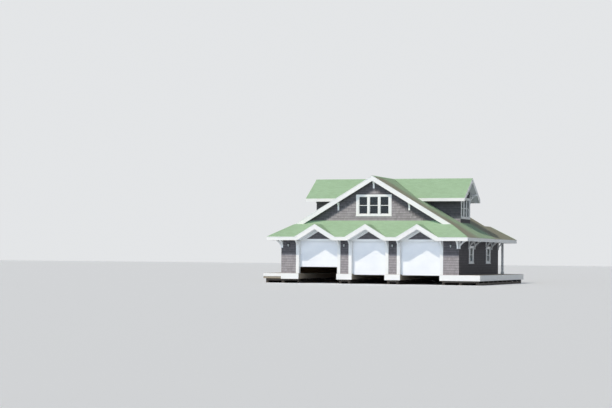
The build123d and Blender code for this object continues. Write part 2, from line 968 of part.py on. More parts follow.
with BuildPart() as rear_gable_wall:
    mirror(front_gable_wall.part, about=Plane.XZ.offset(-body_middle_y))
save(rear_gable_wall, "rear_gable_wall")

# Dormer walls: the windowed end and two cheeks that stand on the main slope's opening
dormer_left_y = body_middle_y - dormer_half
dormer_right_y = body_middle_y + dormer_half
dormer_inner_x = dormer_wall_reach - wall_thickness
dormer_cutter = hole_cutter(dormer_faces[0], upper_size, wall_thickness)
above_main_slope = prism_along_y(
    [(0, main_under(0)), (dormer_inner_x, main_under(dormer_inner_x)), (dormer_inner_x, sky_z), (0, sky_z)],
    dormer_left_y, dormer_right_y,
)

with BuildPart() as dormer_cheeks:
    for side in (-1, 1):
        outer_y = body_middle_y + side * dormer_half
        inner_y = body_middle_y + side * (dormer_half - wall_thickness)
        with BuildSketch(facing_right(0)):
            Polygon(
                (inner_y, floor_top_z), (outer_y, floor_top_z), (outer_y, cross_under(outer_y)),
                (inner_y, cross_under(inner_y)),
            )
        extrude(amount=dormer_inner_x)
    add(above_main_slope, mode=Mode.INTERSECT)

with BuildPart() as right_dormer_walls:
    with BuildSketch(facing_right(dormer_inner_x)):
        Polygon(
            (dormer_left_y, main_under(dormer_wall_reach)),
            (dormer_right_y, main_under(dormer_wall_reach)),
            (dormer_right_y, cross_under(dormer_right_y)),
            (body_middle_y, cross_under(body_middle_y)),
            (dormer_left_y, cross_under(dormer_left_y)),
        )
    extrude(amount=wall_thickness)
    add(dormer_cheeks.part)
    add(dormer_cutter, mode=Mode.SUBTRACT)
save(right_dormer_walls, "right_dormer_walls")

with BuildPart() as left_dormer_walls:
    mirror(right_dormer_walls.part, about=Plane.YZ)
save(left_dormer_walls, "left_dormer_walls")

# Window frames and glass
with BuildPart() as gable_windows:
    for face in gable_faces:
        add(window_frame(face, upper_size, upper_pane_width, upper_pane_pitch, 3))
save(gable_windows, "gable_windows")

with BuildPart() as dormer_windows:
    for face in dormer_faces:
        add(window_frame(face, upper_size, upper_pane_width, upper_pane_pitch, 3))
save(dormer_windows, "dormer_windows")

with BuildPart() as ground_windows:
    for face in right_faces + left_faces + rear_faces:
        add(window_frame(face, ground_size, ground_pane_width, ground_window_width, 1))
save(ground_windows, "ground_windows")

with BuildPart() as upper_glass:
    for face in gable_faces + dormer_faces:
        add(glass_sheet(face, upper_size))
save(upper_glass, "upper_glass")

with BuildPart() as ground_glass:
    for face in right_faces + left_faces + rear_faces:
        add(glass_sheet(face, ground_size))
save(ground_glass, "ground_glass")

# Boat door frames: deep linings behind the openings, and flat casings with a header on the face
lining_back_y = front_y + door_recess

with BuildPart() as door_frames:
    for centre, width in zip(door_centres, door_widths):
        lining_width = width + 2 * door_lining
        casing_span = width + 2 * casing_width
        with BuildSketch(facing_front(front_y - casing_thickness)):
            with Locations((centre, (deck_top + wall_head_z) / 2)):
                Rectangle(lining_width, wall_head_z - deck_top)
            with Locations((centre, (deck_top + door_head_z) / 2)):
                Rectangle(width, door_head_z - deck_top, mode=Mode.SUBTRACT)
        extrude(amount=-(casing_thickness + door_recess))
        with BuildSketch(facing_front(front_y - casing_thickness)):
            with Locations((centre, (deck_top + door_head_z + header_height) / 2)):
                Rectangle(casing_span, door_head_z + header_height - deck_top)
            with Locations((centre, (deck_top + door_head_z) / 2)):
                Rectangle(width, door_head_z - deck_top, mode=Mode.SUBTRACT)
        extrude(amount=-casing_thickness)
save(door_frames, "door_frames")


# Boat doors: sectional leaves that hang behind the linings, with a narrow seal that hangs between the piers
def boat_door(centre, width, bottom):
    """Leaf whose bottom edge is at a height from the deck, grooved between its sections."""
    leaf_bottom = deck_top + max(bottom, 0)
    leaf_top = door_head_z + door_leaf_rise
    seal_width = width - 2 * (pier_lap + door_seal_clearance)
    grooves = range(1, int((leaf_top - leaf_bottom) // door_section_height) + 1)
    groove_z = [leaf_bottom + row * door_section_height for row in grooves]
    with BuildPart() as door:
        with BuildSketch(facing_front(lining_back_y)):
            with Locations((centre, (leaf_bottom + leaf_top) / 2)):
                Rectangle(width + 2 * door_leaf_lap, leaf_top - leaf_bottom)
            with Locations((centre, deck_top + (bottom + leaf_bottom - deck_top) / 2)):
                if bottom < 0:
                    Rectangle(seal_width, leaf_bottom - deck_top - bottom)
        extrude(amount=-door_leaf_thickness)
        with BuildSketch(facing_front(lining_back_y)):
            with Locations(*[(centre, z) for z in groove_z]):
                Rectangle(width + 2 * door_leaf_lap, door_groove_width)
        extrude(amount=-door_groove_depth, mode=Mode.SUBTRACT)
    return door.part


with BuildPart() as boat_door_left:
    add(boat_door(-door_pitch, side_door_width, raised_door_bottom))
save(boat_door_left, "boat_door_left")

with BuildPart() as boat_door_middle:
    add(boat_door(0, middle_door_width, -closed_door_drop))
save(boat_door_middle, "boat_door_middle")

with BuildPart() as boat_door_right:
    add(boat_door(door_pitch, side_door_width, -closed_door_drop))
save(boat_door_right, "boat_door_right")

# Rear door under the porch: its casing, and a closed leaf with sunk panels, in one piece
rear_door_face = facing_out(0, rear_y, deck_top + rear_door_height / 2, (0, 1, 0))
panel_width = rear_door_width - 2 * rear_door_panel_inset
panel_height = (rear_door_height - 3 * rear_door_panel_inset) / 2

with BuildPart() as rear_door:
    with BuildSketch(rear_door_face):
        with Locations((0, rear_door_casing / 2)):
            Rectangle(rear_door_width + 2 * rear_door_casing, rear_door_height + rear_door_casing)
        with Locations((0, -rear_door_stop / 2)):
            Rectangle(
                rear_door_width - 2 * rear_door_stop, rear_door_height - rear_door_stop, mode=Mode.SUBTRACT
            )
    extrude(amount=casing_thickness)
    with BuildSketch(rear_door_face):
        Rectangle(rear_door_width, rear_door_height)
    extrude(amount=-rear_door_leaf_thickness)
    with BuildSketch(rear_door_face):
        with GridLocations(1, panel_height + rear_door_panel_inset, 1, 2):
            Rectangle(panel_width, panel_height)
    extrude(amount=-rear_door_panel_depth, mode=Mode.SUBTRACT)
save(rear_door, "rear_door")


# Knee braces: a leg on the wall, an arm under the soffit, and a curved brace between
brace_offset = bracket_brace / math.sqrt(2)


def bracket_profile(face, drop, reach, fall):
    """Bracket standing out of a wall. The face has X out from the wall and Y up, and its origin is where the
    soffit meets the wall; the soffit falls by this much for each unit outwards."""
    tip = -fall * reach
    brace_foot = (0, -drop)
    brace_tip = (reach, tip - bracket_leg)
    middle = (
        (brace_foot[0] + brace_tip[0]) / 2 - bracket_sag,
        (brace_foot[1] + brace_tip[1]) / 2 + bracket_sag,
    )
    inner_foot = (0, -drop + 2 * bracket_brace)
    inner_tip = (reach - 2 * bracket_brace, tip + 2 * fall * bracket_brace - bracket_leg / 2)
    inner_middle = (middle[0] - brace_offset, middle[1] + brace_offset)
    with BuildPart() as bracket:
        with BuildSketch(face):
            Polygon((0, -drop), (bracket_leg, -drop), (bracket_leg, -fall * bracket_leg), (0, 0))
            Polygon((0, 0), (0, -bracket_leg), (reach, tip - bracket_leg), (reach, tip))
            with BuildLine():
                ThreePointArc(brace_foot, middle, brace_tip)
                Line(brace_tip, inner_tip)
                ThreePointArc(inner_tip, inner_middle, inner_foot)
                Line(inner_foot, brace_foot)
            make_face()
        extrude(amount=bracket_width / 2, both=True)
    return bracket.part


right_soffit_z = main_under(half_width)
bracket_on_right = [
    bracket_profile(
        Plane(origin=(half_width, front_y + place, right_soffit_z), x_dir=(1, 0, 0), z_dir=(0, -1, 0)),
        bracket_drop, bracket_reach, slope,
    )
    for place in side_bracket_positions
]

with BuildPart() as eave_brackets:
    for bracket in bracket_on_right:
        add(bracket)
        mirror(bracket, about=Plane.YZ)
save(eave_brackets, "eave_brackets")

casing_face_y = front_y - casing_thickness
jamb_offsets = [edge + side * casing_width / 2 for edge, side in zip(slip_edges, [-1, 1, -1, 1, -1, 1])]
corner_offset = half_width - corner_bracket_inset
jamb_brackets = [
    bracket_profile(
        Plane(origin=(x, casing_face_y, front_under(casing_face_y)), x_dir=(0, -1, 0), z_dir=(-1, 0, 0)),
        bracket_drop - slope * casing_thickness, bracket_reach - casing_thickness, slope,
    )
    for x in jamb_offsets
]
corner_brackets = [
    bracket_profile(
        Plane(origin=(x, front_y, front_under(front_y)), x_dir=(0, -1, 0), z_dir=(-1, 0, 0)),
        bracket_drop, bracket_reach, slope,
    )
    for x in (-corner_offset, corner_offset)
]

with BuildPart() as front_brackets:
    for bracket in jamb_brackets + corner_brackets:
        add(bracket)
save(front_brackets, "front_brackets")

gable_bracket_places = [-gable_bracket_offset, 0, gable_bracket_offset]
gable_brackets_front = [
    bracket_profile(
        Plane(
            origin=(x, front_gable_y, main_under(x) + slope * bracket_width / 2),
            x_dir=(0, -1, 0), z_dir=(-1, 0, 0),
        ),
        gable_bracket_drop, gable_bracket_reach, 0,
    )
    for x in gable_bracket_places
]


# Dormer brackets: their legs are notched over the ends of the window casing, and their arms are bevelled to
# carry the barge boards
def dormer_barge_bottom(y):
    return cross_top(y) - dormer_barge_height


dormer_bracket_offset = (upper_window_width - bracket_width) / 2
dormer_brackets_right = [
    bracket_profile(
        Plane(origin=(dormer_wall_reach, y, dormer_barge_bottom(y)), x_dir=(1, 0, 0), z_dir=(0, -1, 0)),
        gable_bracket_drop, dormer_slab_end + barge_thickness - dormer_wall_reach, 0,
    )
    for y in (body_middle_y - dormer_bracket_offset, body_middle_y + dormer_bracket_offset)
]
under_dormer_barge = prism_along_x(
    [
        (cross_left_y, floor_top_z),
        (cross_right_y, floor_top_z),
        (cross_right_y, dormer_barge_bottom(cross_right_y)),
        (body_middle_y, dormer_barge_bottom(body_middle_y)),
        (cross_left_y, dormer_barge_bottom(cross_left_y)),
    ],
    dormer_wall_reach, dormer_rake_reach,
)
dormer_casing_space = block(
    (dormer_wall_reach, dormer_wall_reach + casing_thickness),
    (body_middle_y - upper_window_width / 2, body_middle_y + upper_window_width / 2),
    (floor_top_z, dormer_window_z + upper_window_height / 2),
)

with BuildPart() as dormer_brackets:
    for bracket in dormer_brackets_right:
        add(bracket)
    add(under_dormer_barge, mode=Mode.INTERSECT)
    add(dormer_casing_space, mode=Mode.SUBTRACT)

with BuildPart() as gable_brackets:
    for bracket in gable_brackets_front:
        add(bracket)
        mirror(bracket, about=Plane.XZ.offset(-body_middle_y))
    add(under_main, mode=Mode.INTERSECT)
    add(dormer_brackets.part)
    mirror(dormer_brackets.part, about=Plane.YZ)
save(gable_brackets, "gable_brackets")

# Porch: posts on the rear deck, and a beam round three sides under the roof
post_centre = half_width - porch_post / 2
post_y = porch_y - porch_post / 2
beam_bottom_z = rear_under(porch_y) - porch_beam_height

post_places = [
    (x, post_y) for x in (-post_centre, -porch_post_spacing / 2, porch_post_spacing / 2, post_centre)
]
post_levels = [
    (deck_top, beam_bottom_z, porch_post),
    (deck_top, deck_top + post_base_height, porch_post + 2 * post_base_proud),
    (beam_bottom_z - post_cap_height, beam_bottom_z, porch_post + 2 * post_cap_proud),
]

with BuildPart() as porch_posts:
    for low, high, width in post_levels:
        with BuildSketch(Plane.XY.offset(low)):
            with Locations(*post_places):
                Rectangle(width, width)
        extrude(amount=high - low)
    base_rims = porch_posts.edges().filter_by(
        lambda edge: abs(edge.center().Z - deck_top - post_base_height) < 1 and edge.length > porch_post + 1
    )
    chamfer(base_rims, post_base_proud / 2)
save(porch_posts, "porch_posts")

with BuildPart() as porch_beam:
    with BuildSketch(Plane.XY.offset(beam_bottom_z)):
        with Locations((0, (rear_y + porch_y) / 2)):
            Rectangle(building_width, porch_depth)
        with Locations((0, (rear_y + porch_y) / 2 - porch_post)):
            Rectangle(building_width - 2 * porch_post, porch_depth, mode=Mode.SUBTRACT)
    extrude(amount=sky_z - beam_bottom_z)
    add(under_main, mode=Mode.INTERSECT)
    add(under_rear_slope, mode=Mode.INTERSECT)
save(porch_beam, "porch_beam")

# Wall lamps beside the boat doors: a back plate, a tapered glass body and a hipped cap
lamp_centres = [
    (-half_width + slip_edges[0] - casing_width) / 2,
    pier_centres[0],
    pier_centres[1],
    (half_width + slip_edges[5] + casing_width) / 2,
]

with BuildPart() as wall_lanterns:
    for centre in lamp_centres:
        body_z = deck_top + lantern_height
        body_y = front_y - lantern_offset - lantern_width / 2
        with BuildSketch(facing_front(front_y)):
            with Locations((centre, body_z)):
                Rectangle(lantern_plate_width, lantern_plate_height)
        extrude(amount=lantern_plate)
        with BuildSketch(facing_front(front_y)):
            with Locations((centre, body_z)):
                Rectangle(lantern_arm, lantern_arm)
        extrude(amount=lantern_offset + lantern_width / 2)
        with BuildSketch(Plane.XY.offset(body_z - lantern_body / 2)):
            with Locations((centre, body_y)):
                Rectangle(lantern_foot, lantern_foot)
        with BuildSketch(Plane.XY.offset(body_z + lantern_body / 2)):
            with Locations((centre, body_y)):
                Rectangle(lantern_width, lantern_width)
        loft()
        with BuildSketch(Plane.XY.offset(body_z + lantern_body / 2)):
            with Locations((centre, body_y)):
                Rectangle(lantern_width, lantern_width)
        extrude(amount=lantern_width / 2, taper=lantern_cap_angle)
save(wall_lanterns, "wall_lanterns")
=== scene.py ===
# %% [markdown]
# # A boathouse with three slips
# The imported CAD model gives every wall, roof slab, door and deck its exact place. This notebook dresses it:
# cedar shingles on the walls, felt shingles on the roofs, boards on the decks and paint on the trim. The
# frame is loaded first, so that every later piece can be measured from it.

# %% Load the frame
import json
import math
from functools import partial

import bmesh
import bpy
from mathutils import Matrix, Vector
from mathutils.geometry import tessellate_polygon


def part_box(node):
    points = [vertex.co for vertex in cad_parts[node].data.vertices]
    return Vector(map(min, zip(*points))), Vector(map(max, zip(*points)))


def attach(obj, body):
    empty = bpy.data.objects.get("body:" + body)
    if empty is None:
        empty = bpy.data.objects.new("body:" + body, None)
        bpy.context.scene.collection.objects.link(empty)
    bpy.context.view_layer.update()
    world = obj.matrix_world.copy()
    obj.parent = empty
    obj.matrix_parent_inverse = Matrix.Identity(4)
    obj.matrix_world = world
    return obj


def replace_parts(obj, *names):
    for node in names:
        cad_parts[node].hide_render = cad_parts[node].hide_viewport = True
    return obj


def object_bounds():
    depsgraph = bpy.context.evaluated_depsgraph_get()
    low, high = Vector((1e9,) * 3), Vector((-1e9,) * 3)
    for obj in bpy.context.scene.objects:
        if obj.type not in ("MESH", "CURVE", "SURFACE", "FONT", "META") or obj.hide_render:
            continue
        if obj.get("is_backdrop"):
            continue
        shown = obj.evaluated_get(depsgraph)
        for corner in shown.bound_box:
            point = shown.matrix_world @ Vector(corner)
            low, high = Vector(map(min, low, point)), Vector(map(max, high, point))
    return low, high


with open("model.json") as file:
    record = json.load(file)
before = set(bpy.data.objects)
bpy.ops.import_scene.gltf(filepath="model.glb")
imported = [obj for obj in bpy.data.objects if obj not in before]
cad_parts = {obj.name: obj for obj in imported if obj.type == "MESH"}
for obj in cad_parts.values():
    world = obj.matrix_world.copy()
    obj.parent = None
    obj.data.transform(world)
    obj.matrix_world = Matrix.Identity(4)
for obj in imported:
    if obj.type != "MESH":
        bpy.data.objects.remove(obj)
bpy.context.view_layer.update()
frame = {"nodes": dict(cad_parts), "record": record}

# %% [markdown]
# ## Where things are
# Blender works in metres here, in the same frame as the CAD. The heights and reaches below are read from the
# CAD nodes, so the dressing still fits if the frame changes. Only the roof pitches and a few sizes of doors
# and boards are written down.

# %% Measure the building
PITCH, CROSS_PITCH = math.radians(30.7), math.radians(32.7)
SLOPE, CROSS_SLOPE = math.tan(PITCH), math.tan(CROSS_PITCH)
ROOF_DEPTH = 0.255
GABLET_RISE = 0.93
DRIP_PROUD = 0.015

DECK_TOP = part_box("deck_right")[1].z
WALL_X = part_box("front_piers")[1].x
FRONT_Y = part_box("front_piers")[0].y
REAR_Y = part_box("rear_wall")[1].y
MIDDLE_Y = (FRONT_Y + REAR_Y) / 2
EAVE_X, EAVE_Y, EAVE_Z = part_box("eave_fascia")[1]
RIDGE_Z = EAVE_Z + SLOPE * EAVE_X
GABLE_FRONT_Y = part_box("front_gable_wall")[0].y
GABLE_REAR_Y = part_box("rear_gable_wall")[1].y
RAKE_FRONT_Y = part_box("gable_barge_boards")[0].y + DRIP_PROUD
RAKE_REAR_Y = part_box("gable_barge_boards")[1].y - DRIP_PROUD
DORMER_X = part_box("right_dormer_walls")[1].x
DORMER_HALF = (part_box("right_dormer_walls")[1].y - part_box("right_dormer_walls")[0].y) / 2
CROSS_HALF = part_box("dormer_barge_boards")[1].y - MIDDLE_Y
CROSS_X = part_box("dormer_barge_boards")[1].x - DRIP_PROUD
FLAT_X, FLAT_Y, FLAT_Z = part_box("rear_flat_roof")[1]
DOOR_CENTRES = (-3.85, 0.0, 3.85)
DOOR_CASING_HALF = (1.7125, 1.51, 1.7125)
DOOR_CASING_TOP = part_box("door_frames")[1].z
GABLET_HALF = GABLET_RISE / SLOPE
GABLET_Z = EAVE_Z + GABLET_RISE
print("ridge", round(RIDGE_Z, 3), "walls", round(WALL_X, 3), "eaves", round(EAVE_X, 3))


def main_top(x):
    return RIDGE_Z - SLOPE * abs(x)


def cross_top(y):
    return RIDGE_Z - CROSS_SLOPE * abs(y - MIDDLE_Y)


# %% [markdown]
# ## The camera
# The photograph was taken from a long way out on the water, with a long lens, a little to the right of the
# doors and only just above the deck. Straight edges in it gave the camera's place, so the render can be laid
# over the photograph.

# %% Place the camera
CAMERA_PLACE = Vector((35.8245, -119.7824, 1.8456))
CAMERA_YAW, CAMERA_PITCH, CAMERA_ROLL = 0.3461, 0.0329, 0.0088
FOCAL_PIXELS, PHOTO_WIDTH, SENSOR_WIDTH = 1637.03, 612, 36.0
FARTHEST_SEEN = 1000


def placed(name, data):
    """New object with this data, linked to the scene."""
    made = bpy.data.objects.new(name, data)
    bpy.context.scene.collection.objects.link(made)
    return made


camera = placed("camera", bpy.data.cameras.new("camera"))
level = math.cos(CAMERA_PITCH)
ahead = Vector((-math.sin(CAMERA_YAW) * level, math.cos(CAMERA_YAW) * level, math.sin(CAMERA_PITCH)))
level_right = Vector((math.cos(CAMERA_YAW), math.sin(CAMERA_YAW), 0))
level_up = level_right.cross(ahead)
right = math.cos(CAMERA_ROLL) * level_right + math.sin(CAMERA_ROLL) * level_up
turn = Matrix((right, right.cross(ahead), -ahead)).transposed().to_4x4()
camera.matrix_world = Matrix.Translation(CAMERA_PLACE) @ turn
camera.data.sensor_width = SENSOR_WIDTH
camera.data.lens = FOCAL_PIXELS * SENSOR_WIDTH / PHOTO_WIDTH
camera.data.clip_end = FARTHEST_SEEN
bpy.context.scene.camera = camera
print("lens", round(camera.data.lens, 1), "mm")

# %% [markdown]
# ## Nodes and colours
# Materials, the sky and the shingle trees are all made of nodes, and one small function adds any of them
# with its settings and links. Colours are written as sRGB hex, as a paint chart gives them, and turned to
# the linear values that sockets take.

# %% Node helpers
MATH, VECTOR_MATH, RANGE = "ShaderNodeMath", "ShaderNodeVectorMath", "ShaderNodeMapRange"
NOISE, MAPPING, MIX = "ShaderNodeTexNoise", "ShaderNodeMapping", "ShaderNodeMix"
SPLIT, VECTOR = "ShaderNodeSeparateXYZ", "ShaderNodeCombineXYZ"


def linear(hex_colour):
    """sRGB hex to the linear colour that sockets take."""
    parts = [int(hex_colour[i:i + 2], 16) / 255 for i in (1, 3, 5)]
    return (*[p / 12.92 if p <= 0.04045 else ((p + 0.055) / 1.055) ** 2.4 for p in parts], 1.0)


def node(tree, kind, *in_turn, **named):
    """Adds a node. Values in turn go to its live inputs, capitalised names are inputs, the others settings.

    A value is a number, a colour, a socket, or a node, which stands for its first live output. A list of them
    is linked to one input.
    """
    made = tree.nodes.new(kind)
    for name, value in named.items():
        if name[0].islower():
            setattr(made, name, value)
    given = list(zip([socket for socket in made.inputs if socket.enabled], in_turn))
    given += [(made.inputs[name.replace("_", " ")], v) for name, v in named.items() if name[0].isupper()]
    for socket, values in given:
        for value in values if isinstance(values, list) else [values]:
            if isinstance(value, bpy.types.Node):
                value = next(output for output in value.outputs if output.enabled)
            if isinstance(value, bpy.types.NodeSocket):
                tree.links.new(value, socket)
            else:
                socket.default_value = value
    return made


print("middle grey is", round(linear("#808080")[0], 3), "in linear light")

# %% [markdown]
# ## Light
# A soft, slightly warm key stands for the high sun on the water side. An even, slightly cool sky fills the
# shade, and a very soft lamp from low in front stands for light thrown back by the water, which keeps the
# shaded doors white. The sky is pale where only the camera, a reflection or a window sees it, so the
# backdrop is bright while the shaded walls keep their depth.

# %% Sky and far lamps
SKY_FILL, SKY_TINT = 0.17, "#CFE2FC"
SKY_SEEN, SKY_SEEN_TINT = 0.84, "#F6F8FA"
KEY = dict(strength=2.26, tint="#FFF2DF", softness=math.radians(1.6), towards=(-0.23, -0.595, 0.77))
WATER_GLOW = dict(strength=1.93, tint="#D8E7FA", softness=math.radians(60), towards=(0.0, -0.97, 0.08))


def seen_directly(add):
    """1 where the camera, a reflection or a glass pane sees a surface, and 0 for bounced light."""
    rays = add("ShaderNodeLightPath").outputs
    seen = add(MATH, rays["Is Camera Ray"], rays["Is Glossy Ray"], operation="MAXIMUM")
    return add(MATH, seen, rays["Is Transmission Ray"], operation="MAXIMUM")


world = bpy.data.worlds.new("studio sky")
bpy.context.scene.world = world
world.use_nodes = True
world.node_tree.nodes.clear()
add = partial(node, world.node_tree)
seen = seen_directly(add)
fill_dome = add("ShaderNodeBackground", linear(SKY_TINT), SKY_FILL)
seen_dome = add("ShaderNodeBackground", linear(SKY_SEEN_TINT), SKY_SEEN)
add("ShaderNodeOutputWorld", add("ShaderNodeMixShader", seen, fill_dome, seen_dome))


def far_lamp(name, strength, tint, softness, towards):
    lamp = placed(name, bpy.data.lights.new(name, "SUN"))
    lamp.data.energy = strength
    lamp.data.color = linear(tint)[:3]
    lamp.data.angle = softness
    lamp.rotation_mode = "QUATERNION"
    lamp.rotation_quaternion = Vector(towards).to_track_quat("Z", "Y")


far_lamp("key", **KEY)
far_lamp("water glow", **WATER_GLOW)
bpy.context.scene.view_settings.view_transform = "Standard"
print("far lamps", len(bpy.data.lights))

# %% [markdown]
# ## Paint, timber and shingle
# Painted trim is softwood under a satin white: smooth, with a faint grain, and greyed in patches. Every
# finish is one Principled shader with its fixed values on its own sockets, and a bump whose depth is a real
# one in metres. Patterns read the building's own coordinates, so their scale is real too.

# %% White satin paint
PATCH_SPAN = (0.35, 0.75)


def new_finish(name):
    """New material without nodes. Gives it, and a function that adds nodes to it."""
    material = bpy.data.materials.new(name)
    material.use_nodes = True
    material.node_tree.nodes.clear()
    return material, partial(node, material.node_tree)


def end_finish(add, colour, relief, depth, roughness, **more):
    """Ends a finish with a bump from a height, a Principled shader and the output."""
    bump = add("ShaderNodeBump", Height=relief, Distance=depth)
    shader = add("ShaderNodeBsdfPrincipled", Base_Color=colour, Normal=bump, Roughness=roughness, **more)
    add("ShaderNodeOutputMaterial", shader)


def painted(name, clean, shaded, roughness):
    """Paint that keeps fine brush marks and greys in patches."""
    material, add = new_finish(name)
    place = add("ShaderNodeTexCoord").outputs["Object"]
    patch = add(RANGE, add(NOISE, place, Scale=0.9, Detail=4.0, Roughness=0.55), *PATCH_SPAN)
    grain = add(NOISE, place, Scale=60.0, Detail=3.0)
    colour = add(MIX, patch, linear(clean), linear(shaded), data_type="RGBA")
    end_finish(add, colour, grain, depth=0.0006, roughness=roughness)
    return material


# Satin paint on planed softwood trim
white_paint = painted("white satin paint on softwood", "#F1F1EE", "#E6E8E8", roughness=0.42)
# Factory enamel on the steel sections of the boat doors, a little glossier
door_paint = painted("white enamel on steel door sections", "#F0F2F4", "#E7EAEE", roughness=0.35)
print("paints:", white_paint.name, "and", door_paint.name)

# %% [markdown]
# Cedar shingles are sawn, stained and then weathered, so each one has its own tone. The shingle tree stores
# two numbers on every shingle: "tone", a random one, and "rise", which is 0 at its thick lower edge and 1
# where the next row covers it. The tone picks a colour, and the rise darkens the upper part as painted shade
# under the next row's edge, with some dust and damp. A third number is added to the walls that look to the
# water. It is high where the sun falls and has faded the stain grey, and low under the eaves, where the dark
# tones are painted shade. On the other sides the dark tones stand for the stain and painted shade together.

# %% Weathered cedar and green felt shingle
NOISE_SPAN, COVERED_SPAN = (0.3, 0.7), (0.35, 0.95)
GREEN_STONE = ["#A0BF9E", "#A4C3A2", "#A8C7A7", "#A2C1A0"]


def tone_ramp(add, tones):
    """Colour picked from a few tones by the random number stored on each shingle or board."""
    ramp = add("ShaderNodeValToRGB", add("ShaderNodeAttribute", attribute_name="tone").outputs["Fac"])
    stops = ramp.color_ramp.elements
    stops[0].color, stops[1].color = linear(tones[0]), linear(tones[-1])
    for i, tone in enumerate(tones[1:-1], 1):
        stops.new(i / (len(tones) - 1)).color = linear(tone)
    return ramp


def scaled(add, colour, factor, *others):
    """Colour multiplied by one or more numbers."""
    for other in others:
        factor = add(MATH, factor, other, operation="MULTIPLY")
    return add(VECTOR_MATH, colour, factor, operation="SCALE")


def shingle_finish(
    name, tones, grain_size, stretch, roughness, grain=0.08, patches=0.05, painted_row_shade=0.0, relief=0.0015,
    lit_and_bleach_tones=None,
):
    """Shingles or boards: a tone each, fine grain, broad weathering patches, and painted shade on the covered
    part.
    """
    material, add = new_finish(name)
    place = add("ShaderNodeTexCoord").outputs["Object"]
    fine = add(NOISE, add(MAPPING, place, Scale=stretch), Scale=grain_size, Detail=5.0, Roughness=0.6)
    broad = add(NOISE, place, Scale=0.55, Detail=3.0, Roughness=0.55)
    rise = add("ShaderNodeAttribute", attribute_name="rise").outputs["Fac"]
    colour = tone_ramp(add, tones)
    # Pale tones where the water-side walls are lit and sun-faded, dark ones for the stain and painted shade
    if lit_and_bleach_tones:
        exposed = add("ShaderNodeAttribute", attribute_name="exposed").outputs["Fac"]
        colour = add(MIX, exposed, colour, tone_ramp(add, lit_and_bleach_tones), data_type="RGBA")
    colour = scaled(
        add, colour, add(RANGE, fine, *NOISE_SPAN, 1 - grain, 1 + grain),
        add(RANGE, broad, *NOISE_SPAN, 1 - patches, 1 + patches),
        # Painted shade: the upper part of each shingle, under the next row's edge, is darker
        add(RANGE, rise, *COVERED_SPAN, 1 + painted_row_shade / 2, 1 - painted_row_shade),
    )
    end_finish(add, colour, fine, relief, roughness)
    return material


# Sawn cedar under a brown-grey stain, dry and dull. The dark tones are stain and painted shade, the pale ones
# lit and sun-faded
cedar = shingle_finish(
    "stained cedar wall shingle with painted shade", ["#424144", "#47464A", "#4D4B4F", "#454347"], grain_size=26.0,
    stretch=(1.0, 1.0, 0.12), roughness=0.82, grain=0.06, patches=0.03, painted_row_shade=0.22,
    lit_and_bleach_tones=["#8F8A8C", "#979294", "#9F9A9C", "#938E91"],
)
# Felt shingles with a coat of green crushed stone: no gloss at all, and a little painted shade under each row
felt_green = shingle_finish(
    "green mineral felt shingle", GREEN_STONE, grain_size=160.0, stretch=(1.0, 1.0, 1.0), roughness=0.9,
    grain=0.05, patches=0.008, painted_row_shade=0.05,
)
print("shingles:", cedar.name, "and", felt_green.name)

# %% [markdown]
# On the long side slopes the green stone has worn and gathered dust: they are grey-brown beside the front
# rake and behind the dormers, and greener between. This finish takes the place along the slope, breaks its
# edges up with a soft noise, and mixes the two colours.

# %% Worn felt shingle of the long slopes
WORN_AT_RAKE, WORN_BEHIND_DORMER = (-4.2, -2.4), (1.2, 2.4)
LEAST_WORN, MOST_WORN = 0.12, 0.74
EDGE_WANDER = 2.4

# Felt whose green stone is partly gone, dusty and quite dull
worn_felt, add = new_finish("worn green felt shingle")
place = add("ShaderNodeTexCoord").outputs["Object"]
broad = add(NOISE, place, Scale=0.8, Detail=4.0, Roughness=0.55)
fine = add(NOISE, place, Scale=160.0, Detail=3.0, Roughness=0.55)
along = add(MATH, broad, EDGE_WANDER, add(SPLIT, place).outputs["Y"], operation="MULTIPLY_ADD")
near_rake = add(RANGE, along, *WORN_AT_RAKE, 1.0, 0.0)
behind_dormer = add(RANGE, along, *WORN_BEHIND_DORMER, 0.0, 1.0)
worn = add(MATH, near_rake, behind_dormer, operation="MAXIMUM")
worn = add(RANGE, worn, 0.0, 1.0, LEAST_WORN, MOST_WORN)
colour = add(MIX, worn, tone_ramp(add, GREEN_STONE), linear("#94877C"), data_type="RGBA")
speckle, mottle = add(RANGE, fine, *NOISE_SPAN, 0.93, 1.07), add(RANGE, broad, *NOISE_SPAN, 0.96, 1.04)
end_finish(add, scaled(add, colour, speckle, mottle), fine, depth=0.0015, roughness=0.92)
print(worn_felt.name, "has", len(worn_felt.node_tree.nodes), "nodes")

# %% [markdown]
# Bare boards have long grain along one axis, so their noise is stretched that way. The deck is grey and dry,
# the cribs at the waterline are dark and damp, and the upper floor is planed and oiled.

# %% Boards and crib timber
# Deck softwood left bare and greyed by rain
deck_wood = shingle_finish(
    "weathered deck softwood", ["#9C9282", "#A99E8C", "#B3A895", "#A1978A"], grain_size=14.0,
    stretch=(0.12, 1.0, 1.0), roughness=0.78, grain=0.12, relief=0.001,
)
# Rough crib logs that stay wet: a little darker and smoother than the deck
crib_wood = shingle_finish(
    "wet crib timber", ["#3F362D", "#4A3F34", "#443A30"], grain_size=9.0, stretch=(1.0, 0.2, 1.0),
    roughness=0.62, grain=0.2, patches=0.12, relief=0.002,
)
# Planed and oiled floor boards, with a low sheen
floor_wood = shingle_finish(
    "planed floor softwood", ["#B48D62", "#BC976C", "#AC855C"], grain_size=14.0, stretch=(0.1, 1.0, 1.0),
    roughness=0.5, relief=0.0005,
)
print("boards:", deck_wood.name, "and", crib_wood.name, "and", floor_wood.name)

# %% [markdown]
# The porch roof is too flat for shingles, so it is covered with sheets of grey felt. Where one sheet laps
# over the next there is a small step and a dark line. A number that swings up and down across the roof finds
# them.

# %% Roofing sheet with its laps
SHEET_STEP, LAP_WIDTH = 0.5, 0.02

